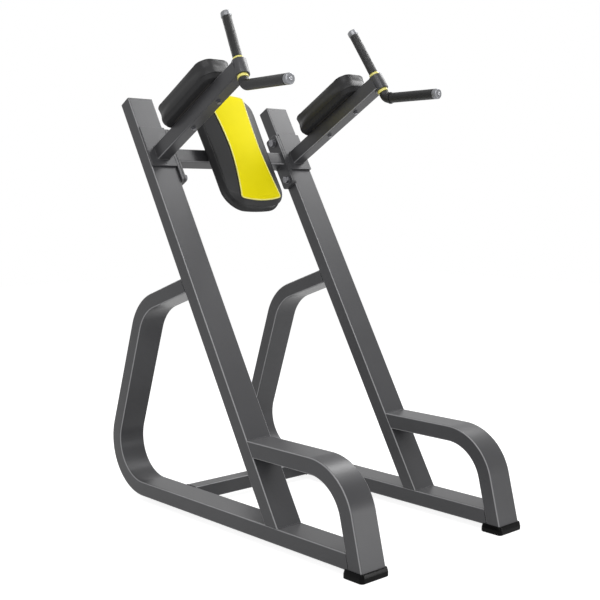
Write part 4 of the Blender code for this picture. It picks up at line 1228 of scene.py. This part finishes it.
# Outlines of the cushions and the panel, and the spines that they are drawn in towards
ARM_PAD = cushion_outline(lambda y: ARM_PAD_HALF_WIDTH, -ARM_PAD_FRONT, -ARM_PAD_BACK,
                          ARM_PAD_CORNER, ARM_PAD_CORNER, sides=36, ends=8, turns=12)
ARM_SPINE = (-ARM_PAD_FRONT + ARM_PAD_HALF_WIDTH, -ARM_PAD_BACK - ARM_PAD_HALF_WIDTH)
BACK_PAD = bowed(cushion_outline(back_pad_half_width, BACK_PAD_BOTTOM, BACK_PAD_TOP,
                                 BACK_PAD_BOTTOM_CORNER, BACK_PAD_TOP_CORNER),
                 BACK_PAD_BOW, BACK_PAD_BOTTOM, BACK_PAD_TOP)
BACK_SPINE = (BACK_PAD_BOTTOM + BACK_PAD_HALF_WIDTH, BACK_PAD_TOP - BACK_PAD_HALF_WIDTH)
PANEL = bowed(cushion_outline(panel_half_width, PANEL_BOTTOM, PANEL_TOP, PANEL_CORNER, PANEL_CORNER),
              PANEL_BOW, PANEL_BOTTOM, PANEL_TOP)
PANEL_SPINE = (PANEL_BOTTOM + PANEL_WAIST, PANEL_TOP - PANEL_WAIST)


def arm_pad_shell():
    """Rings of the forearm cushion before it is blown up: flat under it, walls drawn in at half
    height, a seam near the top edge and a low crown. With them come the numbers of the pinned rings
    and of the seam."""
    # Inset and height in millimetres
    under = [(34, 0), (26, 0), (18, 0), (12, 0), (8, 0), (5.2, 0.1), (3.2, 0.9), (1.6, 2.4), (0.8, 4.4)]
    wall = [(smooth_curve([(0, 0.5), (0.2, 1.6), (0.5, 3.4), (0.8, 2.8), (1, 2.0)], k / 9), 7 + k * 43.5 / 9)
            for k in range(10)]
    seam = [(1.9, 51.6), (1.9, 52.6), (2.1, 53.6)]
    top = [(3.0, 54.7), (4.6, 55.6), (7.5, 56.6), (11.5, 57.3), (16.5, 58.0), (23, 58.7), (30, 59.3),
           (38, 59.7), (46, 60.0), (54, 60.1), (60, 60.2)]
    rings = []
    for inset, height in under + wall + seam + top:
        factor = 1 - inset / 1000 / ARM_PAD_HALF_WIDTH
        rings.append(level(toward_spine(ARM_PAD, factor, *ARM_SPINE), height / 1000))
    return rings, list(range(6)), len(under) + len(wall) + 1


def arm_cushions():
    """Both forearm cushions and their lines of stitches. One is blown up, and the other is its mirror
    image."""
    rings, pins, seam = arm_pad_shell()
    count = len(rings[0])
    data = inflated("forearm_cushion", rings, pins + [seam], ARM_SWELL)
    # The marked rings are darkened with painted shade and grime
    sewn(data, count, [seam], ARM_SEAM_GROOVE, [seam + 1, 5, 6])
    stitch_line = ring_points(data, count, seam - 1)
    data = finer(data)
    lines = []
    for side, sign in SIDES:
        own = data.copy()
        mirror = Matrix.Scale(-sign, 4, ACROSS)
        own.transform(mirror)
        if sign > 0:
            own.flip_normals()
        place = LEAN @ shift(sign * ARM_X, 0, ARM_HEIGHT + SMALL_TUBE / 2 + PAD_BOARD + 2 * GAP)
        pad = make_piece(side + "_forearm_cushion", own, CHARCOAL, [side + "_arm_pad"], place, sharp=80)
        whole = place @ mirror
        lines.append([(whole @ spot, (whole.to_3x3() @ up).normalized()) for spot, up in stitch_line])
    return lines


def standing(outline, depth):
    """An outline in the plane of the back rest. The depth is a number or a function of height."""
    return [Vector((x, -(depth(z) if callable(depth) else depth), z)) for x, z in outline]


def back_pad_shell():
    """Rings of the back cushion before it is blown up: a drawn-in wall, a sewn shoulder, a sloping
    band and the arched front under the yellow panel. With them come the numbers of the pinned rings,
    of the shoulder and of the panel's rim."""
    back = BACK_PLATE_THICKNESS + PAD_BOARD + 2 * GAP
    rise = BACK_PAD_SHOULDER - back
    rings = []
    # Outward in millimetres and share of the way from the board to the shoulder
    under = [(-60, 0), (-45, 0), (-32, 0), (-22, 0), (-14, 0), (-8, 0), (-4.5, 0.01), (-2.0, 0.03)]
    wall = [(smooth_curve([(0, 0.6), (0.1, 2.0), (0.25, 1.4), (0.55, -3.6), (0.8, -5.2), (1, -5.2)], k / 9),
             0.07 + k * 0.82 / 9) for k in range(10)]
    shoulder = [(-5.6, 0.935), (-6.4, 0.972), (-7.6, 1.0)]
    for outward, share in under + wall + shoulder:
        factor = 1 + outward / 1000 / BACK_PAD_HALF_WIDTH
        rings.append(standing(toward_spine(BACK_PAD, factor, *BACK_SPINE), back + rise * share))
    shoulder_ring = len(rings)
    # Share of the way from the shoulder to the panel's rim
    for share in (0.0, 0.035, 0.09, 0.2, 0.34, 0.5, 0.66, 0.8, 0.9, 0.955):
        outline = blended(BACK_PAD, PANEL, 0.14 + 0.86 * share)
        rings.append(standing(outline, lambda z, share=share: BACK_PAD_SHOULDER
                              + (panel_depth(z) - BACK_PAD_SHOULDER) * share))
    rim_ring = len(rings)
    # Size of each ring under the panel, as a share of the rim's
    for factor in (1.0, 0.975, 0.94, 0.86, 0.76, 0.64, 0.5, 0.36, 0.22, 0.1):
        swell = BACK_PAD_CROWN * (1 - factor ** 2)
        rings.append(standing(toward_spine(PANEL, factor, *PANEL_SPINE),
                              lambda z, swell=swell: panel_depth(z) + swell))
    return rings, list(range(7)), shoulder_ring, rim_ring


def yellow_panel(front):
    """The yellow vinyl skin on the cushion's front, with a rounded edge, from the cushion's rings."""
    # It rises over its first two rings, and its underside lies just inside the cushion
    lifts = [0.0002, PANEL_THICKNESS * 0.8] + [PANEL_THICKNESS] * (len(front) - 2)
    top = [[spot + up * lift for spot, up in ring] for ring, lift in zip(front, lifts)]
    low = [[spot - up * 0.0008 for spot, up in ring] for ring in front]
    return finer(to_data("yellow_back_panel", closed_shell(low[::-1] + top)))


def back_cushion():
    """The back cushion, its yellow panel and the piping round the panel. Returns its line of
    stitches."""
    rings, pins, shoulder, rim = back_pad_shell()
    count = len(rings[0])
    data = inflated("back_cushion", rings, pins + [shoulder, rim], BACK_SWELL)
    # The marked rings are darkened with painted shade and grime
    sewn(data, count, [shoulder, rim - 1], BACK_SEAM_GROOVE, [6, 7])
    shoulder_line = ring_points(data, count, shoulder + 1)
    front = [ring_points(data, count, ring) for ring in range(rim, len(rings))]
    panel_data = yellow_panel(front)
    pad = make_piece("back_rest_cushion", finer(data), CHARCOAL, ["back_pad"], LEAN, sharp=80)
    panel = make_piece("yellow_back_panel", panel_data, YELLOW, ["back_pad_panel"], LEAN, sharp=60)
    edge = [LEAN @ (spot + up * 0.0009) for spot, up in front[0]]
    # The piping's paler yellow is a painted highlight along the panel's rim
    beads("panel_piping", [(edge, True)], YELLOW_PIPING_HIGHLIGHT, PIPING_BEAD)
    return [[(LEAN @ spot, lean_direction(up)) for spot, up in shoulder_line]]


def wrapped_board(name, outline, spine, place, node, margin):
    """A plywood board and the cushion's vinyl, which is folded over its edge and stapled at a margin.
    Returns the line of the staples."""
    board = toward_spine(outline, BOARD_SHARE, *spine)
    half_width = max(x for x, _ in board)

    def drawn_out(outward):
        return toward_spine(board, 1 + outward / half_width, *spine)

    make_piece(name + "_board", slab(board, GAP, PAD_BOARD - GAP), PLYWOOD, [node], place,
               bevel=BOARD_EDGE)
    # From the cushion's lower edge down to the board's edge and inwards under it, outer face first
    fold = ((0.0062, PAD_BOARD + 0.001), (0.0052, PAD_BOARD - 0.002), (0.0008, 0.0025), (0.0004, 0.0012),
            (-0.0006, 0.0), (-0.004, -0.0002), (-margin, -0.0002), (-margin, 0.0006), (-0.004, 0.0006),
            (-0.002, 0.002), (-0.001, PAD_BOARD + 0.001))
    rings = [level(drawn_out(outward), height) for outward, height in fold]
    make_piece(name + "_folded_vinyl", from_rings(rings, closed=True), TURNED_IN, place=place, sharp=50)
    down = (place.to_3x3() @ -UP).normalized()
    return [(place @ spot, down) for spot in level(drawn_out(0.006 - margin), -0.0002)]


def boards():
    """The boards under the three cushions, and the lines that their staples follow."""
    lines = []
    for side, sign in SIDES:
        place = LEAN @ shift(sign * ARM_X, 0, ARM_HEIGHT + SMALL_TUBE / 2 + GAP)
        node = side + "_arm_pad_board"
        lines.append(wrapped_board(side + "_forearm", ARM_PAD, ARM_SPINE, place, node, ARM_FOLD))
    place = LEAN @ shift(0, -BACK_PLATE_THICKNESS - GAP, 0) @ FORWARDS
    lines.append(wrapped_board("back_rest", BACK_PAD, BACK_SPINE, place, "back_pad_board", BACK_FOLD))
    return lines


def spaced(line, pitch):
    """Evenly spaced places on a closed line: point, normal and direction along the line."""
    points = [spot for spot, _ in line]
    lengths = [(b - a).length for a, b in zip(points, points[1:] + points[:1])]
    number = round(sum(lengths) / pitch)
    step = sum(lengths) / number
    places = []
    travelled = 0.0
    for k, length in enumerate(lengths):
        n = (k + 1) % len(points)
        while len(places) * step < travelled + length and len(places) < number:
            share = (len(places) * step - travelled) / length
            places.append((points[k].lerp(points[n], share), line[k][1].lerp(line[n][1], share).normalized(),
                           (points[n] - points[k]).normalized()))
        travelled += length
    return places


def capsule(length, radius, count=8):
    """A short rounded bar along X, resting on z = 0."""
    rings = []
    for k in range(5):
        angle = math.pi * (k + 0.5) / 5
        x = -math.cos(angle) * length / 2
        rings.append([Vector((x, y, z)) for y, z in circle(radius * math.sin(angle) ** 0.5, count)])
    return from_rings(rings)


def staples(lines):
    """Staples that hold the folded vinyl to the boards."""
    spots = []
    for line in lines:
        for number, (spot, up, along) in enumerate(spaced(line, STAPLE_PITCH)):
            # They were shot by hand, so each lies a little askew
            swing = 0.35 * math.sin(number * 2.4)
            spots.append((spot + up * 0.0003, up, (along + up.cross(along) * swing).normalized()))
    fasteners("board_staples", capsule(*STAPLE), spots, STAPLE_WIRE)


def stitches(lines):
    """Lockstitches beside the seams of the cushions."""
    spots = [(spot - up * 0.0001, up, along) for line in lines
             for spot, up, along in spaced(line, STITCH_PITCH)]
    fasteners("cushion_stitches", capsule(*STITCH, 6), spots, THREAD)


# Stage: floor, lights and camera

def white_to_the_eye(tree, seen, hidden):
    """Mixes what the camera and mirror-like surfaces see with what lights the object."""
    path = add_node(tree, "ShaderNodeLightPath").outputs
    either = calculated(tree, 'MAXIMUM', path["Is Camera Ray"], path["Is Glossy Ray"])
    any_ray = calculated(tree, 'MAXIMUM', either, path["Is Transmission Ray"])
    return add_node(tree, "ShaderNodeMixShader", {0: any_ray, 1: hidden, 2: seen})


def world():
    """White to the eye, a plain soft grey as light."""
    made = bpy.data.worlds.new("studio")
    tree = cleared(made)
    seen = add_node(tree, "ShaderNodeBackground", {"Color": (1, 1, 1, 1), "Strength": 1.0})
    light = add_node(tree, "ShaderNodeBackground", {"Color": (1, 1, 1, 1), "Strength": 0.30})
    add_node(tree, "ShaderNodeOutputWorld", {0: white_to_the_eye(tree, seen, light)})
    bpy.context.scene.world = made


def floor():
    """White floor that keeps the object's soft shadow."""
    mesh = bmesh.new()
    bmesh.ops.create_grid(mesh, x_segments=1, y_segments=1, size=9.0)
    made = in_scene("studio_floor", to_data("studio_floor", mesh))
    material = bpy.data.materials.new("white_studio_floor")
    tree = cleared(material)
    matt = add_node(tree, "ShaderNodeBsdfDiffuse", {"Color": (0.50, 0.50, 0.50, 1)})
    glow = add_node(tree, "ShaderNodeEmission", {"Color": (1, 1, 1, 1), "Strength": 0.87})
    both = add_node(tree, "ShaderNodeAddShader", {0: matt, 1: glow})
    plain = add_node(tree, "ShaderNodeBsdfDiffuse", {"Color": (0.75, 0.75, 0.75, 1)})
    add_node(tree, "ShaderNodeOutputMaterial", {0: white_to_the_eye(tree, both, plain)})
    made.data.materials.append(material)


def softbox(name, place, aim, size, watts):
    """A square area lamp that points at a spot."""
    lamp = bpy.data.lights.new(name, 'AREA')
    lamp.shape = 'RECTANGLE'
    lamp.size, lamp.size_y = size
    lamp.energy = watts
    made = in_scene(name, lamp)
    made.location = place
    made.rotation_euler = (Vector(aim) - Vector(place)).to_track_quat('-Z', 'Y').to_euler()


def camera():
    """The camera at the photograph's place."""
    lens = bpy.data.cameras.new("camera")
    lens.lens = CAMERA_LENS
    lens.sensor_width = 36.0
    made = in_scene("camera", lens)
    made.location = CAMERA_PLACE
    made.rotation_euler = (math.radians(90) + CAMERA_PITCH, 0, -CAMERA_YAW)
    bpy.context.scene.camera = made


def stage():
    """Everything round the object."""
    bpy.context.scene.view_settings.view_transform = 'Standard'
    camera()
    world()
    floor()
    for lamp in LAMPS:
        softbox(*lamp)


def build():
    """The object, side by side and then what joins the sides."""
    for side, sign in SIDES:
        for part in (side_frame, post_cap, arm_flange, bolted_flanges, arm_tube, front_boot, rear_stud,
                     sleeve, bushes):
            part(side, sign)
        for part in (bar_and_grips, end_caps, cap_screws):
            part(side, sign, side + "_handle")
    cross_tubes()
    rest_mount_plate()
    flange_bolts()
    cushion_bolts()
    welds()
    stitches(arm_cushions() + back_cushion())
    staples(boards())


stage()
build()
